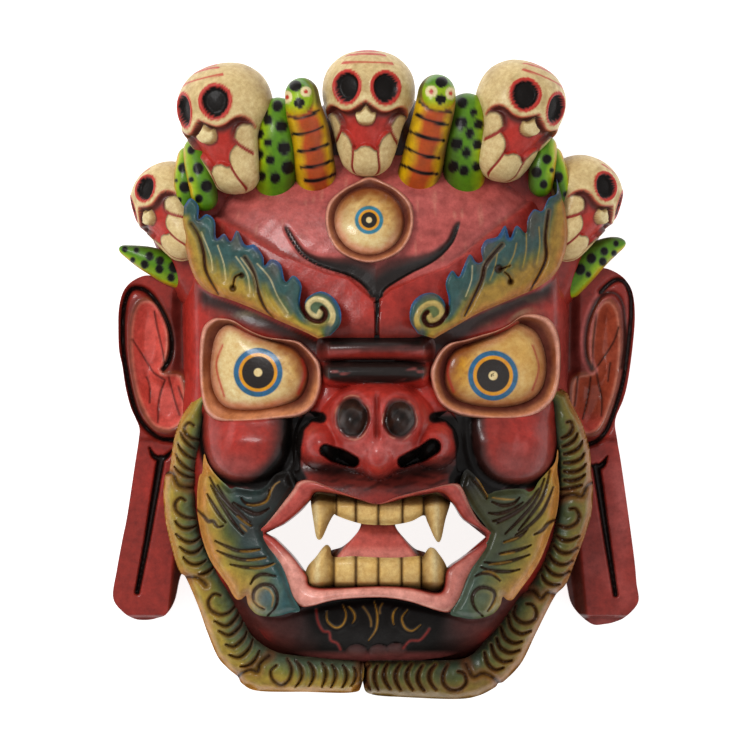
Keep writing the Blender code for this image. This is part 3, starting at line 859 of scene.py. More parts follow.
def nose_design(x, y):
    """The folds of the bridge, the two bulbs with dark hollows, the wings and the nostrils."""
    base = head_height(x, y) + 0.4

    def swell(rise, *area):
        """Half an ellipsoid that stands up from under the face."""
        return base - 6 + (rise + 6) * ball(x, y, *area)

    def bar(rise, middle, half):
        """A fold that runs across the bridge."""
        across = np.sqrt(np.clip(1 - ((y - middle) / half) ** 2, 0, 1))
        return base - 6 + (rise + 6) * across * np.sqrt(ramp(36, 28, np.abs(x)))

    # Two folds, the mass of the nose with its bulbs, wings, shoulders and tip, and the skin.
    upper = bar(11, 14.5, 8.2)
    lower = bar(17, 0, 9)
    mass = swell(40, 1, -33, 38, 30)
    bulbs, wings, shoulders = (
        np.maximum(swell(rise, left, middle, *size), swell(rise, right, middle, *size))
        for rise, left, right, middle, size in (
            (46, -14.5, 15.5, -29, (16, 19)), (33, -34, 36, -43, (15.5, 16)), (8, -29, 31, -17, (14, 17))))
    tip = swell(41, 1.5, -48, 14, 18)
    skin = base + 6 * ramp(-56, -72, y) * ramp(56, 46, np.abs(x))
    height = blend_up([skin, upper, lower, mass, bulbs, wings, shoulders, tip])
    # The hollows in the bulbs, the groove between these and the slots of the nostrils.
    uneven = 0.05 * wander(x, y, 3.5)
    hollow = uneven + np.maximum(1 - np.hypot((x + 14.4) / 10.4, (y + 27) / 12.8),
                                 1 - np.hypot((x - 14.6) / 10, (y + 27.4) / 12.4))
    pit = ramp(-0.05, 0.16, hollow)
    height -= pit * (3 - 0.2 * wander(x, y, 1.6)) - 0.5 * ridge(hollow + 0.1, 0.07)
    between = ridge(x - 0.6, 1.8) * ramp(-44, -36, y) * ramp(-8, -16, y)
    height -= 4 * between
    left_slot, left_along = to_line(x, y, ((-31, -47), (-26, -49.5), (-14, -54)))
    right_slot, right_along = to_line(x, y, ((35, -45), (29, -49), (17, -54)))
    slot = np.minimum(left_slot - 1.1 * np.sin(math.pi * left_along),
                      right_slot - 1.3 * np.cos(1.5 * right_along))
    height -= np.clip(height - base - 0.5, 0, 15) * ramp(4.2, 2.8, slot)
    fold = distance_to(x, y, ((-31, 7.4), (-15, 8.2), (10, 8.2), (30, 6.5)))
    height -= 2.5 * ridge(fold, 1.2)
    hook = np.min([distance_to(x, y, line) for line in WING_HOOKS], axis=0)
    height -= 3 * ridge(hook, 2.6)
    # Bright red on the bulbs, with black over the folds of the bridge, painted highlights on the folds and
    # round the bulbs' hollows, and painted shade on the right.
    tone = mottle(x, y, 9)
    colour = mix("bright_red", "red", 0.3 + 0.5 * tone)
    colour = coats(colour, (
        # Rose on the tip and, as a painted highlight, round the hollows; maroon to the right is painted
        # shade.
        ("rose", 0.7 * hump(x, y, 1, -46, 20, 6) + 0.4 * ridge(hollow + 0.2, 0.1)),
        ("maroon", 0.35 * ramp(16, 50, x) * ramp(-30, -45, y))))
    # Painted highlight streaks along the upper fold.
    painted_sheen = mottle(x, 4 * y, 8)
    upper_part = blends((y - 8) / 13, (0, "maroon"), (0.25, "red"), (0.55, "maroon"), (0.8, "soot"),
                        (1, "black"))
    upper_part = mix(upper_part, "rose", 0.3 * ramp(0.5, 0.9, painted_sheen) * ridge(y - 14, 3))
    colour = mix(colour, upper_part, ramp(6.5, 8.5, y))
    lower_share = np.clip(1.15 - ((x + 1) / 34) ** 4 - ((y - 2) / 8.5) ** 2, 0, 1)
    colour = mix(colour, "soot", ramp(0.02, 0.5, lower_share) * ramp(9, 7, y))
    # Painted glints on the corners of the lower fold.
    painted_glints = ramp(0.35, 0.8, wander(x, 3 * y, 4)) * hump(np.abs(x), y, 24, 0, 7, 5)
    colour = coats(colour, (
        ("rose", 0.5 * painted_glints),
        ("black", ridge(fold, 1.1)),
        ("maroon", 0.6 * ramp(26, 34, np.abs(x)) * ramp(-4, 8, y)),
        ("maroon", 0.7 * ramp(-0.14, 0, hollow)),
        # A pink painted highlight on the rims of the hollows.
        ("rim_pink", 0.55 * ridge(hollow + 0.05, 0.045) * ramp(-0.2, 0.6, wander(x, y, 3))),
        (mix("black", "groove_brown", 0.3 + 0.3 * wander(x, y, 2.4)), pit),
        ("maroon", 0.5 * between)))
    # The dark skin over the lip, brushed with black.
    below = ramp(-55, -61, y - 0.004 * x * x + 4 * ridge(x, 12))
    brushed = ramp(-0.2, 0.8, wander(1.2 * x, 3.5 * y, 3.6, 0.15))
    moustache = mix(mix("maroon", "red", 0.2), "black", 0.65 * brushed)
    moustache = mix(moustache, "red", 0.55 * ramp(34, 46, -x))
    colour = coats(colour, (
        (moustache, 0.95 * below),
        ("red", 0.75 * ramp(-70, -77, y + 0.12 * np.abs(x)))))
    past_wing = np.abs(x - 1) - np.interp(y, (-64, -56, -45, -33, -27), (44, 48.5, 49, 46.8, 42))
    colour = coats(colour, (
        ("black", ramp(-1.5, 0.8, past_wing) * ramp(-23, -28, y)),
        ("black", ramp(4.2, 2.8, hook))))
    under_wing = ridge(np.min([distance_to(x, y, line) for line in WING_SHADOWS], axis=0), 3.5)
    colour = mix(colour, "soot", 0.75 * under_wing)
    return height, mix(colour, "black", ramp(4.4, 3, slot))


class MASK_OT_nose(Operator):
    """Carves the nose with its folds, bulbs and nostrils, and the skin down to the upper lip"""
    bl_idname = "bhairab.nose"
    bl_label = "Carve the nose"

    def execute(self, context):
        carve("nose", smooth(NOSE_OUTLINE, 120), nose_design, "varnished_red_paint", back=64, spacing=0.64)
        return {"FINISHED"}


# ---------------------------------------------------------------- eyes

# The outer loop of each eye's rim and the loop of its ball.
LEFT_RIM = (
    (-109, 0), (-109, 15), (-107, 28), (-101, 34), (-95, 34.5), (-88, 33), (-80, 28), (-68, 23),
    (-50, 20.5), (-44, 17), (-39, 12), (-35, 6), (-34, -2), (-35, -11), (-39, -20), (-47, -25.5),
    (-60, -27.5), (-80, -29.5), (-97, -29), (-105, -23), (-108, -12))
LEFT_BALL = (
    (-102, 0), (-101, 15), (-98, 25), (-92, 30), (-85, 28), (-75, 23), (-62, 19.5), (-52, 16), (-46, 10),
    (-42.5, 1), (-44, -8), (-49, -15), (-60, -19), (-75, -21.5), (-91, -20.5), (-99, -13))
RIGHT_RIM = (
    (34, 0), (36, 7), (40, 14), (46, 19), (55, 21), (65, 24), (75, 27), (83, 31), (90, 36), (97, 37),
    (105, 35), (110, 30), (113, 22), (114, 10), (113, -5), (109, -16), (100, -24), (88, -27.5),
    (70, -27.5), (52, -25), (41, -19), (36, -10))
RIGHT_BALL = (
    (43, 0), (45, 9), (50, 15), (60, 19), (72, 23), (80, 27), (87, 31), (94, 29), (100, 24), (104, 14),
    (105, 2), (102, -9), (94, -16), (80, -19.5), (64, -19), (50, -15), (44, -8))
THIRD_RIM = (
    (-31, 95), (-29, 106), (-21.5, 113.5), (-13, 118.3), (-4, 122.2), (5, 118.8), (13.5, 114), (21, 106),
    (23, 95), (20, 83), (12, 74), (-4, 69), (-20, 74), (-28, 83))
THIRD_BALL = tuple((-4 + 21 * math.cos(turn), 95 + 20.5 * math.sin(turn))
                   for turn in np.linspace(0, 2 * math.pi, 24, endpoint=False))
# The red lines painted on the two large balls: points, paint and width.
LEFT_LINES = (
    (((-95, 18), (-99, 5), (-94, -14)), "bright_red", 0.7),
    (((-45.5, 9), (-44, 0), (-48, -12)), "red", 1.2))
RIGHT_LINES = (
    (((97, 18), (101, 4), (97, -10)), "red", 0.6), (((45.5, 8), (44.5, 0), (48, -11)), "red", 0.9))


def polar(loop, centre, angles):
    """The radius of a loop round a centre, at each of several angles."""
    loop = smooth(loop, 400) - centre
    return np.interp(angles, np.arctan2(loop[:, 1], loop[:, 0]), np.hypot(loop[:, 0], loop[:, 1]),
                     period=2 * math.pi)


def eye_plane(x, y):
    """The height of the rims of the two large eyes, which turn back towards the ears."""
    return 97 - 0.36 * (np.abs(x) - 35)


def third_plane(x, y):
    """The height of the third eye's rim, which follows the forehead."""
    return head_height(x, y) + 6


# Across a rim, from outside in: share of the way to the ball and height over the rim's plane.
RIM_PROFILE = (
    (-0.1, -16), (-0.06, -7), (0, -2.2), (0.06, -0.6), (0.14, 0), (0.24, -0.5), (0.4, -2.4), (0.6, -5),
    (0.8, -7.6), (1, -9.6), (1.12, -13), (1, -22), (0.4, -24), (0, -22))


def profile_steps(profile):
    """The shares and the heights of a profile, in three steps to each of its points."""
    steps = np.linspace(0, len(profile) - 1, 3 * len(profile))
    return (np.interp(steps, range(len(profile)), part) for part in zip(*profile))


def eye_rim(name, centre, outer, inner, plane, depth, lit):
    """The rolled rim round an eye. depth scales its profile and lit the light on its lower side."""
    cx, cy = centre
    angles = full_turn(200)
    far = polar(outer, centre, angles)
    near = polar(inner, centre, angles)
    shares, drops = profile_steps(RIM_PROFILE)
    x, y = around(centre, far + (near - far) * shares[:, None], angles)
    z = plane(x, y) + depth * drops[:, None]
    rings = np.stack([x, y, z], axis=-1)
    rings = np.concatenate([rings, rings[:1]])

    def colours(x, y, z, row, column):
        angle = np.arctan2(y - cy, x - cx)
        reach = np.hypot(x - cx, y - cy)
        outside = np.interp(angle, angles, far, period=2 * math.pi)
        within = np.interp(angle, angles, near, period=2 * math.pi)
        share = (outside - reach) / (outside - within)
        low_side = ramp(4, -14, y - cy)
        warm = mottle(x, y, 6)
        edge = mix("rim_orange", "rim_pink", ridge(share - 0.06, 0.1) + 0.4 * warm)
        lower = mix(edge, "rim_brown", ramp(0.5, 0.9, share))
        upper = mix("rim_pink", "rim_brown", ramp(0.12, 0.34, share) * (0.75 + 0.25 * warm))
        colour = mix(upper, lower, low_side * lit)
        if abs(cx) > MIDDLE_EYE:
            inward = ramp(8, 26, np.sign(cx) * (cx - x))
        else:
            inward = 0.8 + 0.2 * ramp(-22, 12, x + y - cx - cy)
        inward = np.maximum(inward, 0.95 * ramp(10, 40, x))
        shade = ramp(0.25, 0.7, share) * np.maximum(inward, 0.8 * ramp(4, 18, y - cy))
        # Maroon is painted shade: on the inner wall, deepest by the ball, and under the rim's outer foot.
        colour = coats(colour, (
            ("maroon", (0.8 + 0.12 * ramp(10, 40, x)) * shade),
            ("maroon", 0.45 * ramp(0.86, 1, share))))
        return mix(colour, "maroon", ramp(-0.02, -0.08, share))

    loft(name, rings, colours, "varnished_red_paint", hollow=True)


# Rings of the iris are drawn between two rows of vertices, this far to each side of their edge.
CRISP = 0.35
# The third eye lies nearer to the middle of the face than this.
MIDDLE_EYE = 20


def eye_ball(name, centre, loop, iris, radii, plane, sink, bulge, gilding, details):
    """A ball: rings run from its edge to the iris and then round the iris, so its rings are crisp."""
    cx, cy = centre
    ix, iy = iris
    angles = full_turn(180)
    edge = polar(loop, centre, angles) + 1.2
    blue, yellow, black, dot = radii
    outside = np.array(around(centre, edge, angles))
    round_iris = np.array(around(iris, blue, angles))
    places = [outside * (1 - share) + round_iris * share for share in np.linspace(0, 1, 26)]
    inner = [blue - CRISP, (black + dot) / 2, dot / 2, 0]
    for radius in (yellow, black, dot):
        inner += [radius + CRISP, radius - CRISP]
    places += [around(iris, radius, angles) for radius in sorted(inner, reverse=True)]
    x, y = np.array(places).transpose(1, 0, 2)
    reach = np.hypot(x - cx, y - cy) / edge
    z = plane(x, y) - sink + bulge * np.sqrt(np.clip(1 - reach ** 2.6, 0, 1))
    rings = np.stack([x, y, z], axis=-1)
    foot = rings[:1].copy()
    foot[..., 2] -= 8
    rings = np.concatenate([foot, rings])

    def colours(x, y, z, row, column):
        inside = depth_in(x, y, smooth(loop, 90))
        shade = ramp(9, 1, inside + 2 * wander(x, y, 5))
        if abs(cx) > MIDDLE_EYE:
            towards_nose = -np.sign(cx) * (x - cx)
        else:
            towards_nose = 15 + 0.4 * (x + y - cx - cy)
        dusk = ramp(2, 26, np.maximum(towards_nose + 0.4 * (y - cy), 28 * (gilding - 0.1)))
        colour = mix("cream", "golden", gilding + 0.15 * wander(x, y, 7) + 0.6 * dusk)
        specks = ramp(0.2, 0.8, mottle(x, y, 2.5))
        # Ochre towards the edge is painted shade.
        colour = mix(colour, "ochre", 0.3 * shade + 0.5 * dusk * specks)
        freckles = ramp(0.1, 0.6, wander(x, y, 1.1)) * ramp(0.35, 0.8, dusk)
        colour = mix(colour, "rim_brown", 0.3 * freckles)
        glow = mix("rim_pink", "bright_red", 0.25)
        colour = coats(colour, (
            (glow, 0.75 * ramp(6.5, 0.5, inside + 1.5 * wander(x, y, 4)) * (1 - dusk)),
            ("rim_brown", 0.9 * ramp(11, 0.5, inside + 1.5 * wander(x, y, 3)) * dusk),
            # Maroon right at the edge is painted shade where the ball meets its rim.
            ("maroon", 0.8 * ramp(1.6, 0, inside) * (0.3 + 0.7 * dusk))))
        for line, tint, width in details:
            distance = distance_to(x, y, curve(line, 24))
            colour = mix(colour, tint, 0.9 * ridge(distance, width))
        distance = np.hypot(x - ix, y - iy)
        ring = "iris_blue" if blue > 10 else "iris_sky"
        for radius, tint in ((blue, ring), (yellow, "iris_yellow"), (black, "soot"), (dot, "cream")):
            colour = mix(colour, tint, ramp(radius + 0.25, radius - 0.25, distance))
        return colour

    loft(name, rings, colours, "eye_paint", ends="caps")


class MASK_OT_eyes(Operator):
    """Makes the two large eyes and the third eye of the forehead, each a painted ball in a rim"""
    bl_idname = "bhairab.eyes"
    bl_label = "Carve the eyes"

    def execute(self, context):
        left, right, third = (-73, 2), (74, 3), (-4, 95)
        eye_rim("eye_rim_left", left, LEFT_RIM, LEFT_BALL, eye_plane, 1, lit=1)
        eye_rim("eye_rim_right", right, RIGHT_RIM, RIGHT_BALL, eye_plane, 1, lit=0.8)
        eye_ball("eye_ball_left", left, LEFT_BALL, (-73, 1), (15.2, 12, 10, 2.6), eye_plane,
                 sink=11, bulge=12, gilding=0.1, details=LEFT_LINES)
        eye_ball("eye_ball_right", right, RIGHT_BALL, (72.5, -1), (15.5, 12.4, 10.2, 2.8), eye_plane,
                 sink=11, bulge=12, gilding=0.5, details=RIGHT_LINES)
        eye_rim("third_eye_rim", third, THIRD_RIM, THIRD_BALL, third_plane, 0.55, lit=0.6)
        eye_ball("third_eye_ball", third, THIRD_BALL, (-4.3, 95.3), (8.8, 6.5, 5, 1.8), third_plane,
                 sink=6.5, bulge=9, gilding=0.05, details=())
        return {"FINISHED"}


# ---------------------------------------------------------------- brows

# Each brow: its upper edge, its lower edge and the veins on it, with their paint and width.
BROW_LEFT_TOP = (
    (-119, 104), (-115, 109), (-110, 104), (-110, 96), (-105, 99), (-100, 95), (-99, 84), (-94, 87),
    (-90, 82), (-86, 89), (-81, 80), (-75, 80), (-70, 73), (-69, 67), (-65, 71), (-59, 68), (-56, 57),
    (-51, 61), (-46, 55), (-47, 44), (-43, 35), (-44, 44), (-40, 49), (-33, 51), (-26, 47), (-22, 40),
    (-22, 31), (-28, 24))
BROW_LEFT_LOW = (
    (-36, 22), (-46, 27), (-60, 33), (-75, 40), (-90, 46), (-102, 50), (-110, 56), (-115, 66), (-118, 78),
    (-120, 92))
BROW_RIGHT_TOP = (
    (112, 121), (112, 112), (107, 109), (103, 101), (98, 102), (94, 96), (93, 87), (87, 92), (83, 84),
    (80, 92), (75, 85), (68, 83), (65, 77), (66, 70), (62, 69), (58, 74), (54, 66), (51, 60), (47, 64),
    (43, 56), (45, 46), (44, 37), (42, 45), (36, 50), (28, 49), (22, 43), (21, 33), (26, 25))
BROW_RIGHT_LOW = (
    (36, 22), (50, 30), (62, 37), (76, 43), (90, 49), (101, 54), (111, 62), (117, 74), (119, 88),
    (117, 104))
BROW_LEFT_VEINS = (
    (((-114.6, 93), (-110.1, 86), (-107, 75.9), (-105.1, 63.2), (-97.5, 49.3)), "groove_brown", 1),
    (((-81, 72), (-76, 63.2), (-72.8, 50.6), (-68.4, 40.4), (-63.3, 34.7)), "groove_brown", 1),
    (((-83.6, 61.8), (-87.2, 59.8), (-88.4, 54)), "groove_brown", 0.6),
    (((-108.2, 87.9), (-102.5, 73.3), (-101.3, 64.5)), "cream", 0.55),
    (((-98.1, 79.7), (-94.3, 68.3), (-93, 58.2)), "cream", 0.5),
    (((-86.7, 72.7), (-79.8, 62), (-77.9, 50.6)), "cream", 0.55),
    (((-83.6, 72), (-76, 60.7), (-74, 50.6)), "cream", 0.5),
    (((-73.5, 68.3), (-65.8, 59.4), (-60.8, 48), (-54.4, 37.9)), "cream", 0.55))
BROW_RIGHT_VEINS = (
    (((107, 101), (105, 85), (105, 70), (95, 51)), "groove_brown", 1),
    (((78, 80), (68, 68), (65, 57), (55, 36)), "groove_brown", 1.1),
    (((76.6, 64.7), (79.5, 65.7), (83, 67)), "groove_brown", 0.5),
    (((79.5, 63), (82.5, 60.5), (83.5, 57)), "groove_brown", 0.5),
    (((101, 91), (101.5, 80), (99.5, 68)), "leaf_yellow", 0.6),
    (((93, 87), (93, 77), (91, 66)), "leaf_yellow", 0.6),
    (((59.5, 67), (59, 58), (55.5, 48)), "cream", 0.5),
    (((75, 74), (73.5, 66), (70.5, 58)), "leaf_yellow", 0.55),
    (((87, 81), (85, 73), (80, 64)), "leaf_yellow", 0.6))
# The groove and the light line of the left brow's spiral.
SPIRAL_GROOVE = (
    (-45.6, 43.7), (-45.3, 40.5), (-43.4, 37.1), (-40.6, 34.1), (-36.8, 32.6), (-33.4, 33), (-31.2, 35.8),
    (-31.4, 38.8), (-33.2, 40.7))
SPIRAL_LIGHT = (
    (-34.2, 38.6), (-36, 35.4), (-38.9, 36.2), (-41.7, 38.6), (-42.2, 41.8), (-40.6, 44.6), (-37.2, 46.3),
    (-32.9, 45.4), (-29.3, 42.6), (-27.4, 39.4), (-26.6, 36.2), (-27.4, 32.4), (-29.9, 29.2))
# The drilled hollows between the lobes of the brows: centre and radius.
BROW_PITS = ((-88.5, 53, 2), (-83, 61, 1.6), (76, 65, 2.6), (83.5, 57, 1.8))


def brow_design(side, top, low, veins, x, y):
    """A brow's relief and colours, from its lower edge up to its tips, with its veins and spiral."""
    inside = depth_in(x, y, np.vstack([top, low]))
    to_top = distance_to(x, y, top)
    to_low = distance_to(x, y, low)
    share = to_low / (to_low + to_top + 1e-6)
    height = 102 - 0.37 * (np.abs(x) - 34) - 2.6 * ridge(inside, 1.3) + 2 * ramp(0.4, 1, share)
    veined = np.min([distance_to(x, y, curve(line, 30)) for line, _, _ in veins], axis=0)
    height += 0.8 * ridge(veined - 3.6, 1.8)
    colour = blends(share + 0.05 * wander(x, y, 4), (0.06, "leaf_orange"),
                    (0.2, "leaf_yellow"), (0.34, "leaf_yellow"), (0.5, "leaf_green"), (0.68, "leaf_teal"),
                    (0.94, "leaf_teal"), (1, "leaf_blue"))
    tip = mottle(x, y, 9)
    colour = coats(colour, (
        ("leaf_blue", 0.7 * ramp(1.3, 0.3, to_top) * ramp(0.3, 0.7, tip)),
        ("rim_brown", 0.2 * ramp(0.5, 0.8, share) * ramp(-0.2, 0.6, wander(x, y, 6, 0.5))),
        ("leaf_teal", 0.45 * ridge(veined - 1.8, 1.3) * ramp(0.15, 0.45, share)),
        ("leaf_yellow", 0.3 * ridge(veined - 4, 1.6) * ramp(0.75, 0.4, share)),
        # Darker towards the right end of the right brow, as painted shade.
        ("groove_brown", 0.15 * ramp(60, 105, x)),
        ("rim_brown", 0.3 * ramp(20, 50, x) * ramp(0.62, 0.3, share)),
        ("rim_brown", 0.3 * ramp(-20, -50, x) * ramp(0.35, 0.1, share))))
    for line, tint, width in veins:
        distance, along = to_line(x, y, curve(line, 30))
        taper = 0.5 + 0.5 * np.sin(math.pi * np.clip(along, 0.03, 0.97))
        if tint == "groove_brown":
            height -= 2 * ridge(distance, 1.2 * width)
            colour = coats(colour, (
                ("leaf_orange", 0.25 * ridge(distance - 1.3 * width, 0.5)),
                (tint, ramp(1.35, 0.6, distance / (width * taper)))))
        else:
            colour = mix(colour, tint, 0.7 * ridge(distance, 0.65 * width))
    for cx, cy, radius in BROW_PITS:
        pit = ramp(radius + 0.8, radius - 0.8, np.hypot(x - cx, y - cy))
        height -= 2.2 * pit
        colour = mix(colour, "groove_brown", 0.9 * pit)
    # The spiral at the inner end, which is drawn for the left brow.
    own_x, own_y = (x, y) if side < 0 else (-x - 1.5, y + 2.5)
    boss = ramp(12, 8, np.hypot(own_x + 36, own_y - 39))
    groove = distance_to(own_x, own_y, curve(SPIRAL_GROOVE, 60))
    light, along = to_line(own_x, own_y, curve(SPIRAL_LIGHT, 70))
    height += 1.5 * boss - 3.2 * ridge(groove, 1.3) + 0.8 * ridge(light, 1.2) * boss
    field = mix("leaf_teal", "leaf_green", 0.5 if side < 0 else 0.85)
    field = mix(field, "leaf_yellow", 0.8 * ramp(36, 29, own_y))
    colour = coats(colour, (
        (field, 0.85 * boss * ramp(24, 32, own_y)),
        ("leaf_blue", 0.65 * boss * ramp(2, 0.6, to_top) * ramp(38, 45, own_y))))
    pale = mix("cream", "leaf_yellow", (0.3 if side < 0 else 0.75) + 0.25 * ramp(0.7, 1, along))
    colour = coats(colour, (
        (pale, ramp(2.1, 1.2, light) * ramp(1, 0.9, along)),
        (mix("groove_brown", "maroon", 0.4), ramp(2, 1.1, groove))))
    edge = mix("leaf_orange", "rim_brown", 0.55)
    return height, mix(colour, edge, 0.6 * ramp(2, 0.2, inside) * ramp(0.5, 0.25, share))


class MASK_OT_brows(Operator):
    """Carves the two leaf-shaped brows, blue at their tips and orange along their lower edge"""
    bl_idname = "bhairab.brows"
    bl_label = "Carve the brows"

    def execute(self, context):
        for word, side, top, low, veins in (
                ("left", -1, BROW_LEFT_TOP, BROW_LEFT_LOW, BROW_LEFT_VEINS),
                ("right", 1, BROW_RIGHT_TOP, BROW_RIGHT_LOW, BROW_RIGHT_VEINS)):
            top, low = curve(top, 110), curve(low, 40)
            carve(f"brow_{word}", np.vstack([top, low]), partial(brow_design, side, top, low, veins),
                  "varnished_leaf_paint", back=62, spacing=0.55, sides="groove_brown")
        return {"FINISHED"}


# ---------------------------------------------------------------- mouth

LIP_OUTER = (
    (1, -80), (-12, -76), (-28, -70), (-40, -65.5), (-48, -66.5), (-53, -73), (-62, -84), (-70, -93),
    (-77, -98.5), (-69, -107), (-60, -120), (-53, -137.5), (-47, -143.5), (-40, -143.5), (-24, -139.5),
    (2, -138), (20, -140.5), (37, -146), (46, -147), (53, -140), (60, -125), (69, -111), (77, -101.5),
    (66, -93), (59, -82), (54, -70.5), (48, -67.5), (32, -71), (14, -75.5))


def lip_front(x, y):
    """The height of the front of the lips: they bow back towards the corners of the mouth."""
    return 106 - 27 * (x / 76) ** 2 + 2 * ramp(-95, -75, y)


MOUTH_MIDDLE = -103
MOUTH_WIDTH_TO_HEIGHT = 1.6
# Across the lips, from outside in: share of the way to the opening and height over their front.
LIP_PROFILE = (
    (0, -18), (0, -5), (0.1, -1.6), (0.28, 0), (0.5, 0.3), (0.75, -1.2), (0.95, -4), (1, -7),
    (1.04, -14), (1.04, -26), (0.6, -30))


def lips_rings():
    """Rings that run round the mouth, from the outer edge of the lips to the opening."""
    outer = smooth(LIP_OUTER, 320)
    opening = smooth(OPENING_LEFT + OPENING_RIGHT, 900)
    angles, opening_angles = (
        np.arctan2((loop[:, 1] - MOUTH_MIDDLE) * MOUTH_WIDTH_TO_HEIGHT, loop[:, 0])
        for loop in (outer, opening))
    order = np.argsort(opening_angles)
    inner = np.stack([np.interp(angles, opening_angles[order], opening[order, part], period=2 * math.pi)
                      for part in (0, 1)], axis=-1)
    rings = []
    for share, drop in zip(*profile_steps(LIP_PROFILE)):
        flat = outer * (1 - share) + inner * share
        rings.append(np.column_stack([flat, lip_front(flat[:, 0], flat[:, 1]) + drop]))
    return np.array(rings + rings[:1])


def lip_colours(x, y, z, row, column):
    """Rose lips, with a painted highlight along the upper lip's edge, paler on the lower lip, darker inside
    the mouth and with painted shade towards the right.
    """
    rows = 3 * len(LIP_PROFILE)
    across = row * rows / (rows - 1) * (len(LIP_PROFILE) - 1)
    colour = blends(across, (0, "maroon"), (1, "red"), (2, "rim_pink"), (3, "lip"), (5, "lip"), (6, "red"),
                    (7, "maroon"), (9, "black"))
    tone = mottle(x, y, 5)
    colour = mix(colour, "red", 0.3 * tone * ramp(1.5, 3, across))
    lower = ramp(-104, -116, y)
    front = ramp(1.2, 2.2, across) * ramp(6.2, 5, across)
    colour = coats(colour, (
        ("lip_light", (0.9 + 0.1 * tone) * lower * front * ramp(70, -10, x - 20)),
        ("red", 0.3 * (1 - lower)),
        # A painted highlight along the upper lip's edge.
        ("lip_light", 0.75 * (1 - lower) * ridge(across - 2.1, 0.45))))
    # Painted shade towards the right.
    return mix(colour, "maroon", 0.3 * ramp(20, 70, x))


# The gaps between the teeth of each row, and the outline of the row from left to right.
UPPER_GAPS = (-24.5, -12.3, 1.5, 16.4, 29.5)
LOWER_GAPS = (-26, -12.3, 1.5, 15.9, 28)
UPPER_TEETH = (
    (-41, -66), (-40.5, -78), (-38.5, -92), (-37, -100.5), (-35, -102.5), (-32.8, -100.5), (-29, -92),
    (-26, -87), (-24.5, -87.5), (-18, -90), (-9, -92.5), (1.5, -93.3), (12, -93), (22, -91),
    (29.5, -87.5), (32, -92), (36, -101), (38.5, -104), (40.5, -101.5), (43, -90), (46.5, -78), (47, -66))
LOWER_TEETH = (
    (-44, -140), (-43.5, -122), (-37, -113), (-32.5, -107), (-30, -105.8), (-28, -108), (-26.3, -113),
    (-14, -112.6), (2, -113.4), (15, -113.4), (27.5, -112.4), (29, -113), (32, -108.5), (34.5, -107.4),
    (38, -110), (44.5, -121.5), (45, -140))


def teeth_design(gaps, upper, x, y):
    """A row of teeth, parted by its gaps, with a rounded fang at each end."""
    front = 101.5 - 13 * (x / 45) ** 2
    edge = distance_to(x, y, UPPER_TEETH if upper else LOWER_TEETH)
    gap = np.min([np.abs(x - place) for place in gaps], axis=0)
    canine = ramp(gaps[-1] - 1, gaps[-1] + 2, x) + ramp(gaps[0] + 1, gaps[0] - 2, x)
    middle = (37.5 if upper else 36.5) * np.sign(x)
    height = front - 3.5 * ridge(edge, 2.5) - (2.6 + 1.2 * canine) * ridge(gap, 1)
    height -= 22 * (ramp(-82, -73, y) if upper else ramp(-128, -137, y))
    height += canine * (5 - 0.35 * np.abs(x - middle) ** 1.4)
    root = ramp(-86, -74, y) if upper else ramp(-120, -132, y)
    tone = mottle(x, y, 4)
    off = np.abs(x - middle)
    # Cream down the middle of each fang is a painted highlight.
    colour = mix("tooth", "cream", 0.35 * tone + 0.5 * canine * ramp(3, 0.5, off))
    # Stains at the roots, with painted shade along the row's edge, to the right, on the fangs' sides and by
    # the gaps.
    stains_and_shade = 0.45 * root + 0.35 * ridge(edge, 1.6) + 0.2 * ramp(20, 45, x)
    stains_and_shade += 0.35 * canine * ramp(2, 7, off)
    stains_and_shade += 0.35 * ridge(gap, 2.6) * ramp(0.2, 0.8, tone)
    colour = mix(colour, "tooth_stain_and_shade", np.clip(stains_and_shade, 0, 0.85))
    return height, mix(colour, "groove_brown", 0.95 * ridge(gap, 0.7))


TONGUE = (
    (-9, -84), (11, -84), (12, -94), (17, -101), (24, -108), (32, -112), (32, -124), (-31, -124),
    (-30, -111), (-21, -107), (-14, -101), (-9.5, -94))


def tongue_design(x, y):
    """The tongue, which widens down to the lower teeth."""
    half = 9.9 + 14.3 * np.clip((-93 - y) / 19.6, 0, 1)
    off = np.abs(x - 0.8) / half
    height = 86 - 0.28 * (y + 93) - 7 * ramp(0.9, 1.2, off)
    tone = mottle(x, y, 4, 0.6)
    colour = mix("tongue", "lip", 0.5 * tone)
    colour = coats(colour, (
        ("lip_light", 0.4 * ramp(-105, -111, y)),
        ("maroon", 0.4 * ramp(-97, -92, y))))
    return height, mix(colour, "groove_brown", 0.95 * ramp(0.99, 1.05, off))


class MASK_OT_mouth(Operator):
    """Makes the lips, both rows of teeth with their fangs, and the tongue in the open mouth"""
    bl_idname = "bhairab.mouth"
    bl_label = "Carve the mouth"

    def execute(self, context):
        loft("lips", lips_rings(), lip_colours, "varnished_red_paint")
        carve("teeth_upper", smooth(UPPER_TEETH, 150), partial(teeth_design, UPPER_GAPS, True), "bone_paint",
              back=76, spacing=0.6, sides="tooth_stain_and_shade")
        carve("teeth_lower", smooth(LOWER_TEETH, 130), partial(teeth_design, LOWER_GAPS, False), "bone_paint",
              back=74, spacing=0.6, sides="tooth_stain_and_shade")
        carve("tongue", smooth(TONGUE, 90), tongue_design, "varnished_red_paint", back=70)
        return {"FINISHED"}


# ---------------------------------------------------------------- beard

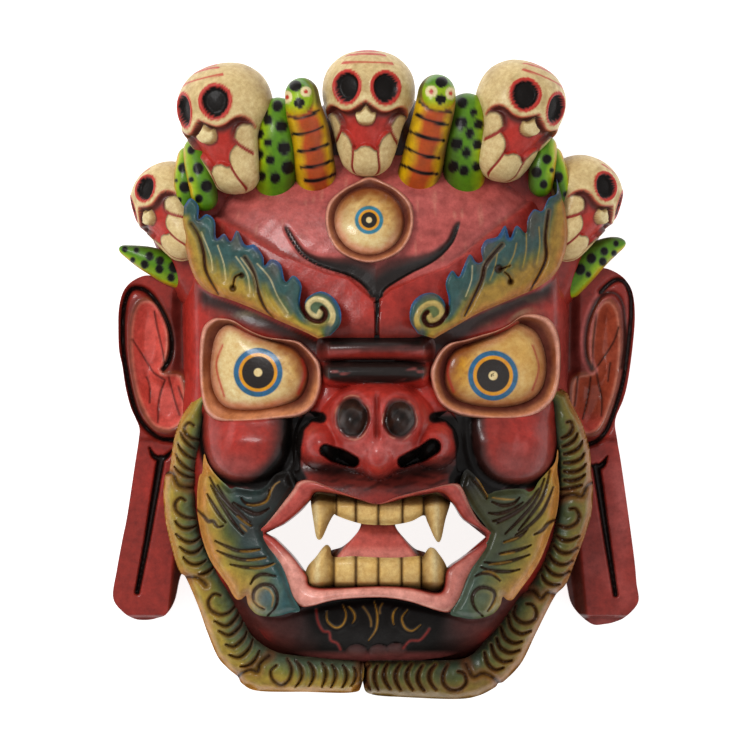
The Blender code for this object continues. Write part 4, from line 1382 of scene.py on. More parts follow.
# The outline of each half of the band round the jaw.
BAND_LEFT = (
    (-109.5, -10), (-115, -18), (-121, -27), (-125.6, -41), (-128, -58), (-128.6, -60), (-131, -63),
    (-132, -75), (-130.5, -93), (-125, -115), (-121.5, -123.5), (-118, -127), (-110.6, -144),
    (-105, -160), (-98.5, -175.5), (-92, -183), (-86, -188), (-83, -192.6), (-73, -197), (-43.5, -197.6),
    (-15.5, -198), (-9, -193.5), (-8.5, -178), (-23, -177), (-50, -175), (-64, -172), (-75.7, -164),
    (-81, -156), (-86, -144), (-90.7, -133), (-99, -119), (-104, -109), (-109, -98), (-111.6, -82),
    (-111, -57), (-107, -34), (-104.5, -20))
BAND_RIGHT = (
    (112, -9), (119, -12), (121.4, -18), (128.5, -32), (133, -48), (134, -64), (135, -69), (134, -86),
    (130, -100), (124.3, -115), (118.4, -130), (112, -137), (106.4, -147), (99, -162), (90.4, -179.5),
    (80, -190.6), (76, -192.3), (73.6, -195), (63.5, -200), (50, -202), (20, -201), (-3, -199),
    (-8, -192), (-8.5, -178), (16, -178), (43, -178), (57, -176), (66, -168), (76, -154.6), (87, -138),
    (97, -127), (104, -116), (110, -100), (113, -80), (112.5, -57), (109.5, -34), (107, -18))

# The curls and strokes cut into the band, and the notches that part it into overlapping leaves.
BAND_CURLS_LEFT = (
    ((-110, -40.8), (-114, -40), (-118, -37), (-118.8, -33), (-116, -30.2), (-113, -32)),
    ((-112.5, -89.5), (-118, -89), (-123.5, -85.5), (-124.6, -80.5), (-121.5, -77), (-118.3, -78.5)),
    ((-87, -143.5), (-91, -148), (-97, -149.5), (-102.5, -146.5), (-104, -141), (-100.5, -136.6),
     (-96.5, -137.5)),
    ((-55, -177), (-52.3, -183), (-54, -190), (-59, -193.3), (-64, -190), (-65.3, -184.5), (-61.8, -181)))
BAND_CURLS_RIGHT = (
    ((115.5, -39.8), (120, -37.5), (122.2, -33.5), (121, -29.8), (118.5, -30)),
    ((113.5, -94), (119, -95.3), (124.5, -92.5), (126.2, -88), (124, -83.8), (120.5, -83.8)),
    ((86.5, -144), (85.3, -149), (89, -153.5), (94, -154.6), (98.7, -152), (99.4, -147), (97, -143.2),
     (93.5, -142.6)),
    ((44.5, -180.5), (41.8, -186), (42, -192), (46, -196), (51.5, -196), (56, -192), (55, -186.3),
     (51, -184.6)))
BAND_STROKES_LEFT = (
    ((-121.5, -36), (-118, -42), (-112.5, -46.5)), ((-123, -43), (-119, -49.3), (-112, -53)),
    ((-124, -50), (-120, -56.5), (-112.5, -60.5)), ((-125, -57.5), (-120, -62.5), (-113, -64.5)),
    ((-124.5, -91.5), (-119, -96), (-111.5, -94)), ((-124, -99.5), (-116, -104.5), (-109, -101)),
    ((-121.5, -107.5), (-114, -111.2), (-107.5, -106.5)),
    ((-119.5, -114), (-113, -118.5), (-105.5, -115.5)), ((-110, -124.5), (-105, -123.3), (-101, -120)),
    ((-100, -153.5), (-93, -156.5), (-87, -151.5), (-84.5, -146)),
    ((-97.5, -159.5), (-91, -162.3), (-84.5, -157), (-83, -153)),
    ((-93, -168), (-88, -169.3), (-82, -164), (-80.3, -160)),
    ((-91, -174.5), (-85, -176), (-79, -171), (-76.5, -165)),
    ((-84, -181.5), (-77, -179.5), (-72.5, -172)), ((-50, -178), (-45.8, -186), (-50, -194)),
    ((-42, -179), (-38.5, -186), (-41.5, -193.5)), ((-33.5, -179.5), (-31, -186), (-33.5, -194)),
    ((-27.5, -180.5), (-25, -187), (-28, -194.5)), ((-20.5, -181), (-18, -187.5), (-21, -194.5)),
    ((-14, -182), (-12.3, -187.5), (-15.5, -193.5)))
BAND_STROKES_RIGHT = (
    ((125, -37), (122, -42), (116, -45)), ((128, -41.5), (124.5, -47), (117, -49.8)),
    ((129, -49.5), (125, -54), (117, -55.2)), ((130, -56), (125, -60.3), (117, -60.5)),
    ((129.5, -62.5), (124, -66), (117, -66)), ((127.5, -69), (121, -71), (115, -71.5)),
    ((112.5, -100.5), (118.5, -103.5), (126, -100.5)), ((110.5, -106.5), (117, -111.3), (125, -108)),
    ((107.5, -112.5), (114, -118.3), (122, -116)), ((105, -119), (112, -125), (120, -122.5)),
    ((103, -125), (107, -130), (114, -130.5)), ((82, -150), (84, -157.5), (90, -161.3), (96, -159.5)),
    ((77.5, -157), (80, -163.7), (85.5, -167), (90.5, -166)),
    ((75, -164), (77, -169.7), (83, -173), (89, -171.5)),
    ((71.5, -168), (74, -175), (79, -178.7), (84, -178)),
    ((67.5, -173), (69.5, -180), (74, -183.7), (79, -182.5)), ((-4, -181), (-7, -187), (-3.5, -196)),
    ((1, -181), (-1, -188), (1.5, -196)), ((7, -180.5), (5, -188), (9, -195.5)),
    ((15, -180.5), (12, -188), (15.5, -196)), ((22, -180.5), (19, -188), (23, -196)),
    ((29, -181), (26, -189), (30, -196.5)), ((37, -180.5), (33, -188), (37.5, -196)))
BAND_NOTCHES_LEFT = (
    ((-131, -61.5), (-126, -62), (-123, -68.5), (-118, -70.5), (-110, -70.5)),
    ((-120, -126.5), (-112, -126.3), (-108, -128.5), (-105.5, -131)),
    ((-86, -189), (-83.5, -186), (-78, -183.8), (-73.2, -185), (-72, -180), (-66, -175)),
    ((-9.2, -178), (-9.5, -192)))
BAND_NOTCHES_RIGHT = (
    ((136, -67), (131, -69.5), (128, -76), (123, -75), (118, -75.5), (112, -78)),
    ((113, -137.5), (106.5, -135.6), (102.3, -139.5), (97.5, -134.6), (92, -134.8)),
    ((77, -192.5), (72, -188), (66, -186), (60.3, -188), (56, -180)), ((-7.8, -178), (-7.8, -193)))


def band_design(side, outline, curls, strokes, notches, x, y):
    """The rounded band, orange at its outer edge and green inside, with its cuts."""
    outline = np.array(outline)
    outer = outline[:np.argmax(np.abs(outline[:, 0]) < 10) + 1]
    inner = outline[len(outer):]
    to_outer = distance_to(x, y, outer)
    to_inner = distance_to(x, y, inner)
    share = to_outer / (to_outer + to_inner + 1e-6)
    curl_line = nearest_of(x, y, curls, 24, thin=0.45)
    stroke = nearest_of(x, y, strokes, thin=0.6 if side < 0 else 0.4)
    notch = nearest_of(x, y, notches, 18)
    height = 50 + 10 * np.sin(math.pi * np.clip(0.12 + 0.76 * share, 0, 1)) ** 0.8
    height += 1.5 * ramp(14, 5, curl_line) - 2.6 * ridge(curl_line, 1.2)
    height += 0.9 * ridge(stroke - 2.6, 1.3) - 2.4 * ridge(stroke, 1)
    height -= 3.2 * ridge(notch, 1.5) + 4 * ridge(to_outer, 2.4) + 4 * ridge(to_inner, 2)
    colour = blends(share + 0.07 * wander(x, y, 5), (0.06, "leaf_orange"),
                    (0.2, "leaf_yellow"), (0.32, "leaf_yellow"), (0.55, "leaf_green"), (0.8, "leaf_teal"))
    if side > 0:
        low = ramp(-150, -185, y)
        # Painted shade darkens the right half towards black.
        shady = mix("leaf_green", "soot", 0.45 + 0.3 * share)
        colour = mix(colour, shady, 0.6 + 0.2 * ramp(60, 30, x))
        worn_edge = mix("leaf_orange", "rim_brown", 0.45)
        colour = coats(colour, (
            (worn_edge, 0.85 * ramp(0.22, 0.04, share) * ramp(60, 85, x)),
            ("soot", 0.15),
            ("ochre", 0.35 * low * ramp(0.5, 0.1, share))))
    else:
        colour = mix(colour, mix("leaf_yellow", "leaf_green", 0.6), 0.25)
    colour = mix(colour, "groove_brown", 0.5 * ramp(0.85, 1, share))
    between = ridge(stroke - 2.4, 1) * ramp(0.15, 0.5, share)
    colour = mix(colour, "leaf_teal" if side < 0 else "leaf_green", 0.35 * between)
    below = ramp(8, 1, notch) * ridge(notch - 2, 3)
    colour = coats(colour, (
        ("rim_brown", 0.5 * below),
        # Brown beside the cuts is painted shadow that widens them.
        ("rim_brown", 0.4 * ridge(stroke - 1.3, 0.9) + 0.4 * ridge(curl_line - 1.3, 0.9))))
    wide = 1 if side < 0 else 1.35
    cut = np.maximum.reduce([ridge(curl_line, wide), ridge(stroke, wide), ridge(notch, 0.9)])
    return height, mix(colour, "groove_brown", np.clip(1.1 * cut, 0, 0.92))


# The chin: its outline, the hairs drawn on it, the edges of the tuft and the small knobs below it.
CHIN = (
    (-76, -150), (-58, -150), (-46, -146), (-20, -141), (2, -139), (20, -141.5), (46, -148), (58, -152),
    (76, -150), (72, -162), (62, -170), (40, -177), (0, -179), (-40, -177), (-62, -170), (-72, -162))
CHIN_HAIRS = (
    ((-30.5, -147), (-30, -153), (-25, -157), (-20.5, -155), (-18.5, -149), (-20.5, -143)),
    ((-17, -144), (-13.2, -149), (-14.5, -154)), ((-1, -141), (0.8, -149), (0, -158), (-4.5, -165)),
    ((13, -145), (10.5, -149), (11, -155)),
    ((19.5, -146), (16, -151), (18, -157), (22.5, -159), (27.5, -155.5)))
CHIN_FAINT = (((-8, -144), (-4, -150), (-3, -156)), ((4, -142), (2.5, -145), (2.5, -148)))
TUFT_EDGES = (
    ((-37, -146), (-36, -153), (-33, -159), (-29, -160), (-28, -165), (-24, -167), (-22, -171)),
    ((33, -158), (31, -161), (27, -165), (21, -165.5), (17, -170)))
CHIN_KNOBS = ((-12, -172.5), (2, -172.5), (12.5, -171.5))


def chin_design(x, y):
    """The dark chin with the drawn hairs of its tuft."""
    inside = depth_in(x, y, smooth(CHIN, 160))
    hair = nearest_of(x, y, CHIN_HAIRS, 30, thin=0.5)
    faint = nearest_of(x, y, CHIN_FAINT, 12)
    tuft = nearest_of(x, y, TUFT_EDGES, 30)
    middle = ramp(40, 30, np.abs(x + 1))
    height = head_height(x, y) + 2.5 + 4 * hump(x, y, 0, -156, 34, 18) - 3 * ridge(inside, 3)
    height += 0.8 * ridge(hair - 2, 1.4) - 0.8 * ridge(hair, 0.8) - 1.2 * ridge(tuft, 1.2)
    knobs = np.max([ball(x, y, cx, cy, 7, 5) for cx, cy in CHIN_KNOBS], axis=0)
    height += 3.5 * knobs
    colour = mix("black", "maroon", ramp(36, 66, np.abs(x) + 5 * wander(x, y, 9)))
    colour = coats(colour, (
        ("bright_red", 0.6 * ramp(60, 76, np.abs(x)) * ramp(-156, -164, y)),
        (mix("rose", "maroon", 0.45), 0.7 * ramp(-171, -176, y) * ramp(60, 40, np.abs(x))),
        ("maroon", 0.7 * knobs),
        ("bright_red", 0.5 * ridge(tuft, 0.7)),
        ("gold", 0.35 * ridge(faint, 0.5) * middle)))
    return height, mix(colour, "gold", 0.8 * ridge(hair, 0.5))


# Each half of the moustache and inner beard. Its outer edge starts at the point of this number.
BEARD_OUTER_START = 26
BEARD_LEFT = (
    (-106.5, -49.5), (-104.5, -55), (-101, -60.5), (-97, -65), (-93, -68.5), (-90, -71), (-87, -70),
    (-84, -70.5), (-78, -71.5), (-72, -71.5), (-68, -69), (-62, -62), (-54, -60), (-50, -70), (-60, -85),
    (-70, -96), (-66, -107), (-58, -119), (-52, -136), (-47, -146), (-53, -147.5), (-60, -149.5),
    (-67, -150), (-73, -149), (-77, -146), (-79.5, -142), (-80.5, -137.5), (-83.5, -139.5),
    (-86.5, -139.5), (-89, -136.5), (-92, -131), (-97, -124), (-101, -118.5), (-104, -113), (-107, -105),
    (-109, -97), (-110.5, -89), (-111, -82), (-111, -74), (-110.5, -68), (-109.5, -63), (-107.8, -61),
    (-107.3, -55))
BEARD_RIGHT = (
    (112.8, -47), (111, -55), (106, -61), (101, -66.5), (98, -71.5), (95, -73), (92, -71.5), (88, -71),
    (80, -71.5), (74, -72.5), (69, -74), (64, -66), (56, -59), (52, -70), (60, -84), (70, -98),
    (67, -107), (58, -123), (52, -138), (46, -148), (53, -150.5), (60, -151.5), (67, -150.5), (73, -148),
    (77, -143), (78.5, -138), (81.5, -140), (85, -139.5), (90, -133), (96, -125), (101, -117),
    (105, -108), (108.5, -98), (111, -91), (113, -82), (113.8, -70), (112.5, -60), (113.2, -52))
# The cuts in it, from the middle outwards.
BEARD_CUTS_LEFT = (
    ((-103, -64), (-98, -73), (-90, -83), (-80, -92)),
    ((-102.3, -69), (-96, -80), (-88, -92), (-82, -99)), ((-104.5, -74.5), (-99, -84), (-93, -92)),
    ((-98, -69), (-92, -79), (-84, -88.5), (-77, -94)), ((-89, -80), (-84, -86.5), (-78, -92)),
    ((-88, -79.5), (-80, -84.5), (-73, -86.5), (-66, -83)),
    ((-83.5, -76.8), (-81, -79.7), (-76, -80.9), (-70, -79.5), (-66.3, -76), (-65.8, -71.5)),
    ((-99.5, -103.5), (-92, -107), (-84, -109.5), (-72, -108.3)),
    ((-98.5, -109.5), (-90, -113), (-80, -115), (-68, -113.3)),
    ((-90, -118), (-80, -119.7), (-70, -119.3), (-63.5, -117)),
    ((-77.5, -130), (-75, -126), (-70, -123.8), (-62, -125)),
    ((-67, -149.5), (-62, -144), (-61, -137), (-64, -131.2), (-70, -130.2), (-75, -133.5), (-76, -139),
     (-73, -143.5), (-69, -145.5)),
    ((-111.5, -84), (-107, -88), (-104, -91.3), (-101, -91.3), (-98, -94.8), (-94.5, -94)))
BEARD_CUTS_RIGHT = (
    ((108, -60), (104, -75), (97, -86), (88, -97)), ((104.5, -65), (99, -78), (91, -88), (80, -99)),
    ((101, -71), (94, -80), (85, -87), (75, -92.5)), ((110, -70), (104, -84), (96, -93), (86, -100)),
    ((91, -79.5), (84, -84), (76, -86.5), (69.5, -86)), ((88, -84), (80, -89), (72, -91)),
    ((71.5, -79), (78, -81.3), (85, -80.3), (89, -76.5)), ((61, -66), (67, -72), (68.5, -77)),
    ((94, -96), (88, -101), (79, -104)), ((96, -106), (88, -109), (76, -111.3)),
    ((95, -112), (86, -115), (76, -117.3), (67, -116.5)),
    ((89, -121), (82, -122.3), (72, -121.7), (65, -119.5)),
    ((61.5, -125), (66, -123.2), (72, -124), (76.8, -128)),
    ((66, -149.7), (61.3, -145), (59.4, -138.5), (62, -133.4), (67, -131.9), (72.5, -134), (73.6, -138),
     (71.5, -143), (69, -146.5)),
    ((112.5, -90), (107, -92.5), (103, -97), (98, -99.5)))
# Light strokes drawn beside the cuts with a fine brush.
BEARD_LIGHTS_LEFT = (
    ((-84, -109.7), (-78, -109.8), (-72, -108.7)), ((-80, -115.3), (-74, -114.9), (-68, -113.7)),
    ((-78, -119.9), (-70, -120), (-62.5, -117.2)),
    ((-80, -81), (-74, -81.2), (-68, -79), (-66, -75), (-63, -69), (-59.5, -66.5)),
    ((-86, -88), (-81, -92), (-77.5, -94)), ((-84, -93), (-80, -97.5)),
    ((-70, -132), (-66, -133.5), (-63.5, -138), (-64.5, -144)),
    ((-75.5, -140), (-73, -142.5), (-68.8, -144.8)))
BEARD_LIGHTS_RIGHT = (
    ((62, -64), (66.5, -70.5), (69, -76)), ((88, -101.3), (79, -104.5)), ((86, -110.5), (77, -112)),
    ((70, -118), (84, -116)), ((66, -122.3), (72, -123), (77, -127)),
    ((74.4, -138), (72.5, -143), (69.5, -146.5)), ((72, -76.5), (80, -77.6), (86, -77.5)))


# Painted shade that darkens it towards black: centre on the right, half-width, half-height and share.
BEARD_SHADE = (
    (76, -98, 19, 12, 0.65), (62, -76, 13, 14, 0.8), (56, -64, 11, 9, 0.9), (84, -72, 10, 4, 0.5),
    (72, -113, 16, 8, 0.45), (82, -84, 15, 12, 0.5))


def beard_design(side, outline, cuts, lights, x, y):
    """Half of the moustache and beard: dark by the nose, teal in the middle and orange outside."""
    outline = np.array(outline)
    outer = np.vstack([outline[BEARD_OUTER_START:], outline[:1]])
    inside = depth_in(x, y, outline)
    to_outer = distance_to(x, y, outer)
    cut = nearest_of(x, y, cuts, 20, thin=0.6)
    light = nearest_of(x, y, lights, thin=0.5)
    across = np.abs(x)
    height = 95 - 0.52 * (across - 55) + 3 * np.sin(math.pi * np.clip(to_outer / 34, 0, 1))
    height -= 5 * ridge(inside, 3) + 2 * ridge(cut, 1.3)
    height += 1.2 * hump(x, y, side * 68, -138, 12, 12)
    colour = blends((to_outer + 2.5 * wander(x, y, 5)) / 40, (0.07, "leaf_orange"),
                    (0.2, "leaf_yellow"), (0.38, "leaf_green"), (0.62, "leaf_teal"))
    dark = sum(share * hump(x, y, side * cx, cy, wide, high) for cx, cy, wide, high, share in BEARD_SHADE)
    colour = mix(colour, "soot", np.clip(dark, 0, 0.95))
    pale = hump(x, y, side * 68, -138, 10, 12) * (1 if side < 0 else 0.6)
    colour = mix(colour, mix("leaf_teal", "leaf_blue", 0.45), 0.75 * pale)
    if side > 0:
        # The right half is darker inside its orange edge, as painted shade.
        colour = coats(colour, (
            (mix("leaf_green", "groove_brown", 0.5), 0.4 * ramp(2, 9, to_outer)),
            ("leaf_orange", 0.5 * ramp(5, 1, to_outer))))
    hook = np.clip(1.6 * hump(x, y, side * 55, -62, 12, 12), 0, 1)
    colour = coats(colour, (
        ("black", 0.85 * hook),
        ("leaf_yellow", 0.25 * ridge(cut - 2.4, 1.2) * ramp(22, 8, to_outer)),
        (mix("groove_brown", "black", 0.35), 0.92 * ramp(1.9, 0.7, cut)),
        (mix("gold", "groove_brown", 0.25), 0.6 * ridge(light, 0.6))))
    tip = ramp(-66, -52, y) * ramp(95, 102, across)
    colour = mix(colour, "leaf_orange", 0.8 * tip)
    return height, colour


class MASK_OT_beard(Operator):
    """Carves the band of overlapping leaves round the jaw, and the moustache and beard inside it"""
    bl_idname = "bhairab.beard"
    bl_label = "Carve the beard"

    def execute(self, context):
        for word, side, outline, *cuts in (
                ("left", -1, BAND_LEFT, BAND_CURLS_LEFT, BAND_STROKES_LEFT, BAND_NOTCHES_LEFT),
                ("right", 1, BAND_RIGHT, BAND_CURLS_RIGHT, BAND_STROKES_RIGHT, BAND_NOTCHES_RIGHT)):
            carve(f"beard_band_{word}", smooth(outline, 260), partial(band_design, side, outline, *cuts),
                  "varnished_leaf_paint", back=8, sides="rim_brown")
        for word, side, outline, *cuts in (
                ("left", -1, BEARD_LEFT, BEARD_CUTS_LEFT, BEARD_LIGHTS_LEFT),
                ("right", 1, BEARD_RIGHT, BEARD_CUTS_RIGHT, BEARD_LIGHTS_RIGHT)):
            carve(f"inner_beard_{word}", smooth(outline, 260), partial(beard_design, side, outline, *cuts),
                  "varnished_leaf_paint", back=52, spacing=0.65, sides="groove_brown")
        carve("chin", smooth(CHIN, 160), chin_design, "dull_black_paint", back=30, spacing=0.68)
        return {"FINISHED"}


# ---------------------------------------------------------------- ears

# The outline of each ear with its lobe, the groove inside its rim, the fold of the right ear, its
# hollow with its veins, and the cap and stem of the slot in the lobe.
EAR_LEFT = (
    (-108, 40), (-118, 51), (-128, 57), (-135, 60), (-142, 61.5), (-148, 60), (-154, 56), (-158, 50),
    (-160.2, 40), (-160.5, 28), (-160, 15), (-158, 5), (-156, -8), (-153, -20), (-150, -27),
    (-147.3, -34), (-148, -42), (-150, -55), (-155, -88), (-158, -103), (-161.5, -122), (-163.9, -139),
    (-158, -148), (-150.5, -152.6), (-142.7, -153.3), (-136, -152), (-130.5, -149.5), (-125.5, -141),
    (-121.5, -125), (-114, -118), (-106, -60))
EAR_RIGHT = (
    (108, 40), (122, 51), (131, 60), (136, 64), (142, 66), (150, 63), (156, 58), (160, 50), (161.3, 36),
    (160, 18), (157, -4), (154, -16), (149, -29), (150.5, -42), (152.7, -55), (157, -85), (161, -115),
    (162.4, -130), (163.5, -142), (156, -151), (149, -154.5), (142, -156), (135, -156), (127, -150),
    (121.5, -142), (118.5, -129), (114, -118), (106, -60))
EAR_LINE_LEFT = (
    (-132.5, 3), (-129, 8), (-127.3, 16), (-128, 26), (-131, 35), (-136, 44), (-142, 51), (-148, 53.5),
    (-153, 52), (-156.5, 44), (-157.8, 30), (-157.3, 15), (-155.5, 2), (-153, -11), (-150, -22),
    (-146, -30), (-140, -36.5), (-133, -40.5), (-122, -41))
EAR_LINE_RIGHT = (
    (140, 51), (145, 56), (150, 58.7), (155, 57), (158.3, 50), (159, 40), (158, 25), (156, 8),
    (153.7, -5), (151, -15), (147, -27), (143, -36), (137, -42), (130, -44.5))
EAR_FOLD_RIGHT = (
    (134.7, 3), (131.5, 10), (130.6, 20), (132, 31), (135.5, 41), (140, 48), (145, 50.7), (150, 49.5),
    (153.5, 44), (155, 34), (155, 18), (153, 4))
CONCHA_LEFT = (
    (-152.3, 20), (-151.3, 34), (-148, 43), (-143, 45.5), (-137, 43.5), (-132, 36), (-129.7, 27),
    (-129.7, 16), (-132, 6), (-133, 0), (-122, -1.5), (-119, -18), (-121, -29), (-127, -34), (-133, -34),
    (-139, -31), (-145, -21), (-149, -9), (-151.5, 6))
CONCHA_RIGHT = (
    (151.7, 28), (150.5, 38), (147, 44), (143, 45.3), (139, 41.5), (136, 34), (134, 22), (133.5, 10),
    (136, 1), (124, -3), (122, -20), (124, -33), (131, -37), (137, -35), (142, -28), (147, -15),
    (150, -3), (152, 15))
EAR_VEINS_LEFT = (
    ((-151.5, 21.5), (-145, 11), (-139, 1.5), (-136, -1), (-131.3, -3.7)),
    ((-131.3, -3.7), (-134, -11), (-135.5, -19), (-135.7, -30)),
    ((-138, 39), (-136.5, 30), (-133, 15), (-131.7, 6)), ((-143, -2), (-141, -8), (-141, -18)),
    ((-129, -2), (-126, -14), (-122.3, -25.5)), ((-123, -8), (-121, -14), (-118.5, -19)))
EAR_VEINS_RIGHT = (
    ((137.3, 37), (135.5, 22), (135, 12), (135.3, 4.5)), ((151, 29), (148, 20), (141, 9), (136.8, 3.5)),
    ((136.8, 3.5), (138.5, -5), (140.7, -15), (140.3, -26)), ((133.7, -2), (132, -14), (128.8, -28)),
    ((146, 7), (145.3, 2), (144.6, -4.5)), ((125.5, -2), (124.5, -14), (123.5, -20)))
LOBE_CAP_LEFT = ((-141, -46), (-138.5, -51), (-134.5, -52.8), (-130.5, -51.5), (-127, -47.5))
LOBE_CAP_RIGHT = ((133, -56.5), (138, -58), (141.5, -56), (144, -51.5))
LOBE_STEM_LEFT = ((-134, -53), (-142.4, -103), (-148.8, -136))
LOBE_STEM_RIGHT = ((137.3, -58), (143, -97), (149.3, -137.5))


def ear_design(side, line, fold, concha, veins, cap, stem, x, y):
    """The rolled rim, the hollow with its veins, and the long lobe with its slot."""
    across = side * x
    to_rim = distance_to(x, y, curve(line, 60))
    to_fold = distance_to(x, y, curve(fold, 40))
    hollow = depth_in(x, y, smooth(concha, 70))
    vein = nearest_of(x, y, veins)
    to_cap, along_cap = to_line(x, y, curve(cap, 20))
    to_stem, along_stem = to_line(x, y, stem)
    is_ear = ramp(-43, -38, y)
    height = 31 + 5 * is_ear + 0.05 * (150 - across) * ramp(-60, -100, y)
    height -= 3.5 * ridge(to_rim, 2) + 2 * ridge(to_fold, 1.6)
    height -= 7 * ramp(0, 9, hollow) - 2 * ridge(hollow + 1.5, 2.5)
    height -= 0.8 * ridge(vein, 0.7)
    inner_side = ramp(129.5, 126, across) * ramp(60, 45, y) * ramp(-2, 4, y)
    height -= 5 * ramp(128, 121, across) * ramp(60, 45, y) * ramp(-6, 4, y)
    cap_width = 1.6 * np.sin(math.pi * np.clip(along_cap, 0.05, 0.95))
    slot = np.minimum(to_stem - 2.2 + 0.9 * along_stem, to_cap - cap_width)
    height -= 4 * ramp(1.3, -1.3, slot)
    edge = 131 if side < 0 else 133
    turned = ramp(edge, edge - 3.5, across + 0.11 * (y + 150)) * ramp(-60, -110, y)
    height -= 9 * ramp(edge, edge - 9, across + 0.11 * (y + 150)) * ramp(-60, -110, y)
    low_edge = ramp(-149.5, -152.5, y)
    height -= 4 * low_edge
    # Red outside, and light flesh with black veins in the hollow.
    tone = mottle(x, y, 11, 0.4)
    red = mix("red", "maroon", 0.1)
    colour = mix(red, "maroon", 0.25 * tone)
    colour = coats(colour, (
        ("rose", 0.3 * ramp(0.6, 1, mottle(x, y, 19, 1.1))),
        ("red", 0.5 * hump(x, y, side * 140, -68, 7, 22))))
    beside_slot = ridge(to_stem - 4.5, 3.2) * ramp(-150, -140, y)
    colour = coats(colour, (
        ("bright_red", 0.35 * beside_slot * ramp(-95, -60, y)),
        # Painted shade on the faces that turn away, the inner side and the lobe's lower edge.
        ("maroon", 0.9 * turned + 0.8 * inner_side + 0.5 * low_edge),
        ("soot", 0.3 * turned)))
    if side > 0:
        colour = coats(colour, (
            # Painted shade over the whole right ear, and painted highlights down its outer edge.
            ("maroon", 0.2),
            ("rose", 0.3 * hump(x, y, 154, -80, 5, 40) + 0.15 * ramp(-0.2, 0.8, wander(x, y, 7)))))
    inside_tone = mottle(x, y, 8)
    flesh = mix("ear_red", "rose", 0.4 * inside_tone)
    if side > 0:
        flesh = mix(flesh, "rim_brown", 0.72 * ramp(-36, -20, y))
    colour = coats(colour, (
        ("maroon", 0.5 * ramp(-7, -2, hollow) * ramp(0.3, -0.3, hollow)),
        (flesh, ramp(-0.6, 0.6, hollow)),
        ("rim_brown", 0.7 * ridge(hollow + 1.2, 1.1) * ramp(-20, 10, 150 - across)),
        ("rim_pink", 0.45 * ridge(hollow - 0.6, 0.8)),
        ("soot", 0.9 * ridge(vein, 0.62))))
    if side > 0:
        colour = coats(colour, (
            # A painted highlight on the fold's ridge and painted shadow in its groove.
            ("rose", 0.5 * ridge(to_fold - 2.8, 1) * ramp(150, 140, across)),
            ("soot", 0.85 * ridge(to_fold, 1.2))))
    colour = coats(colour, (
        ("black", 0.97 * ramp(1.9, 1.1, to_rim)),
        ("black", 0.98 * ramp(0.7, 0, slot))))
    return height, colour


class MASK_OT_ears(Operator):
    """Carves the ears with their long slotted lobes"""
    bl_idname = "bhairab.ears"
    bl_label = "Carve the ears"

    def execute(self, context):
        for word, side, outline, *lines in (
                ("left", -1, EAR_LEFT, EAR_LINE_LEFT, EAR_LINE_LEFT, CONCHA_LEFT, EAR_VEINS_LEFT,
                 LOBE_CAP_LEFT, LOBE_STEM_LEFT),
                ("right", 1, EAR_RIGHT, EAR_LINE_RIGHT, EAR_FOLD_RIGHT, CONCHA_RIGHT, EAR_VEINS_RIGHT,
                 LOBE_CAP_RIGHT, LOBE_STEM_RIGHT)):
            carve(f"ear_{word}", smooth(outline, 200), partial(ear_design, side, *lines),
                  "varnished_red_paint", back=0, spacing=0.7, sides="red")
        return {"FINISHED"}


# ---------------------------------------------------------------- skulls

# Half-width of a skull at places from its chin up to its crown, in millimetres before its scale.
SKULL_PROFILE = (
    (-53.2, 0), (-52.4, 5.8), (-50.9, 10.1), (-48.5, 13.6), (-45.5, 16.3), (-40.8, 18.4), (-37, 19.8),
    (-31.6, 21.4), (-25.4, 23.1), (-20.8, 24.7), (-14.6, 26.6), (-10, 27.7), (0, 28.6), (8.6, 27.2),
    (15.5, 23.3), (21.3, 16.5), (24.2, 8.5), (25.2, 0))
SKULL_ROUND = 28.5
# Lines and areas on a skull's front, as distance round it from its middle and height. The socket,
# the edges of the cheek and the lobe and the seams are drawn on the right and mirrored.
SOCKET = (
    (13.5, 10.2), (8, 8.6), (5, 4.4), (5.4, -1.5), (9.2, -6.6), (14.2, -7.3), (19, -4), (21.6, 2.4),
    (19.2, 8))
CHEEK_EDGE = (
    (0, -7.2), (3.6, -9.5), (7.2, -11.8), (11, -13.4), (16, -13.2), (20.8, -11.2), (25, -10.3),
    (29, -11.4), (33, -14.4), (36.5, -18))
LOBE_EDGE = (
    (33, -15.6), (27.6, -14.6), (23.6, -15.8), (21, -19), (19.6, -22.4), (21, -24.8), (17.4, -26.8),
    (14, -29.6), (12, -33.4), (11.3, -36.4), (8.4, -36.6), (4.6, -34.7), (0, -33.9))
NOSE_TOOTH = (
    (-7.4, -14.2), (-4.5, -13.7), (-2.4, -12), (0, -9.8), (2.4, -12), (4.5, -13.7), (7.4, -14.2),
    (7.6, -17), (6.4, -19.6), (3.4, -21.3), (-3.4, -21.3), (-6.4, -19.6), (-7.6, -17))
LOBE_SEAMS = (
    ((19.8, -22.8), (23, -26.4), (28, -29.8), (33.5, -32.4)),
    ((11.4, -35), (12.8, -40), (15.6, -45), (20.5, -49.5), (26, -52)))
BROW_LINES = (
    ((-26, 21.2), (0, 22.4), (21, 21.6)), ((-22, 16.4), (0, 17), (22, 16.6)), ((-24, 24), (20, 24.4)))

# Each skull: its centre, its scale and its turn, pitch and tilt in degrees.
SKULLS = {
    "middle": ((-4.5, 175.8, 66), 1.008, -3.7, 0, -1.3),
    "left": ((-93.6, 166.6, 62), 1.053, -37.7, 3.4, 12.3),
    "right": ((90, 169.4, 62), 0.992, 29, 5.8, -20.8),
    "left_low": ((-129, 109.3, 38), 0.855, -54.6, 31.1, 24.2),
    "right_low": ((128.8, 112.5, 38), 0.892, 54, 23.7, -24.8)}


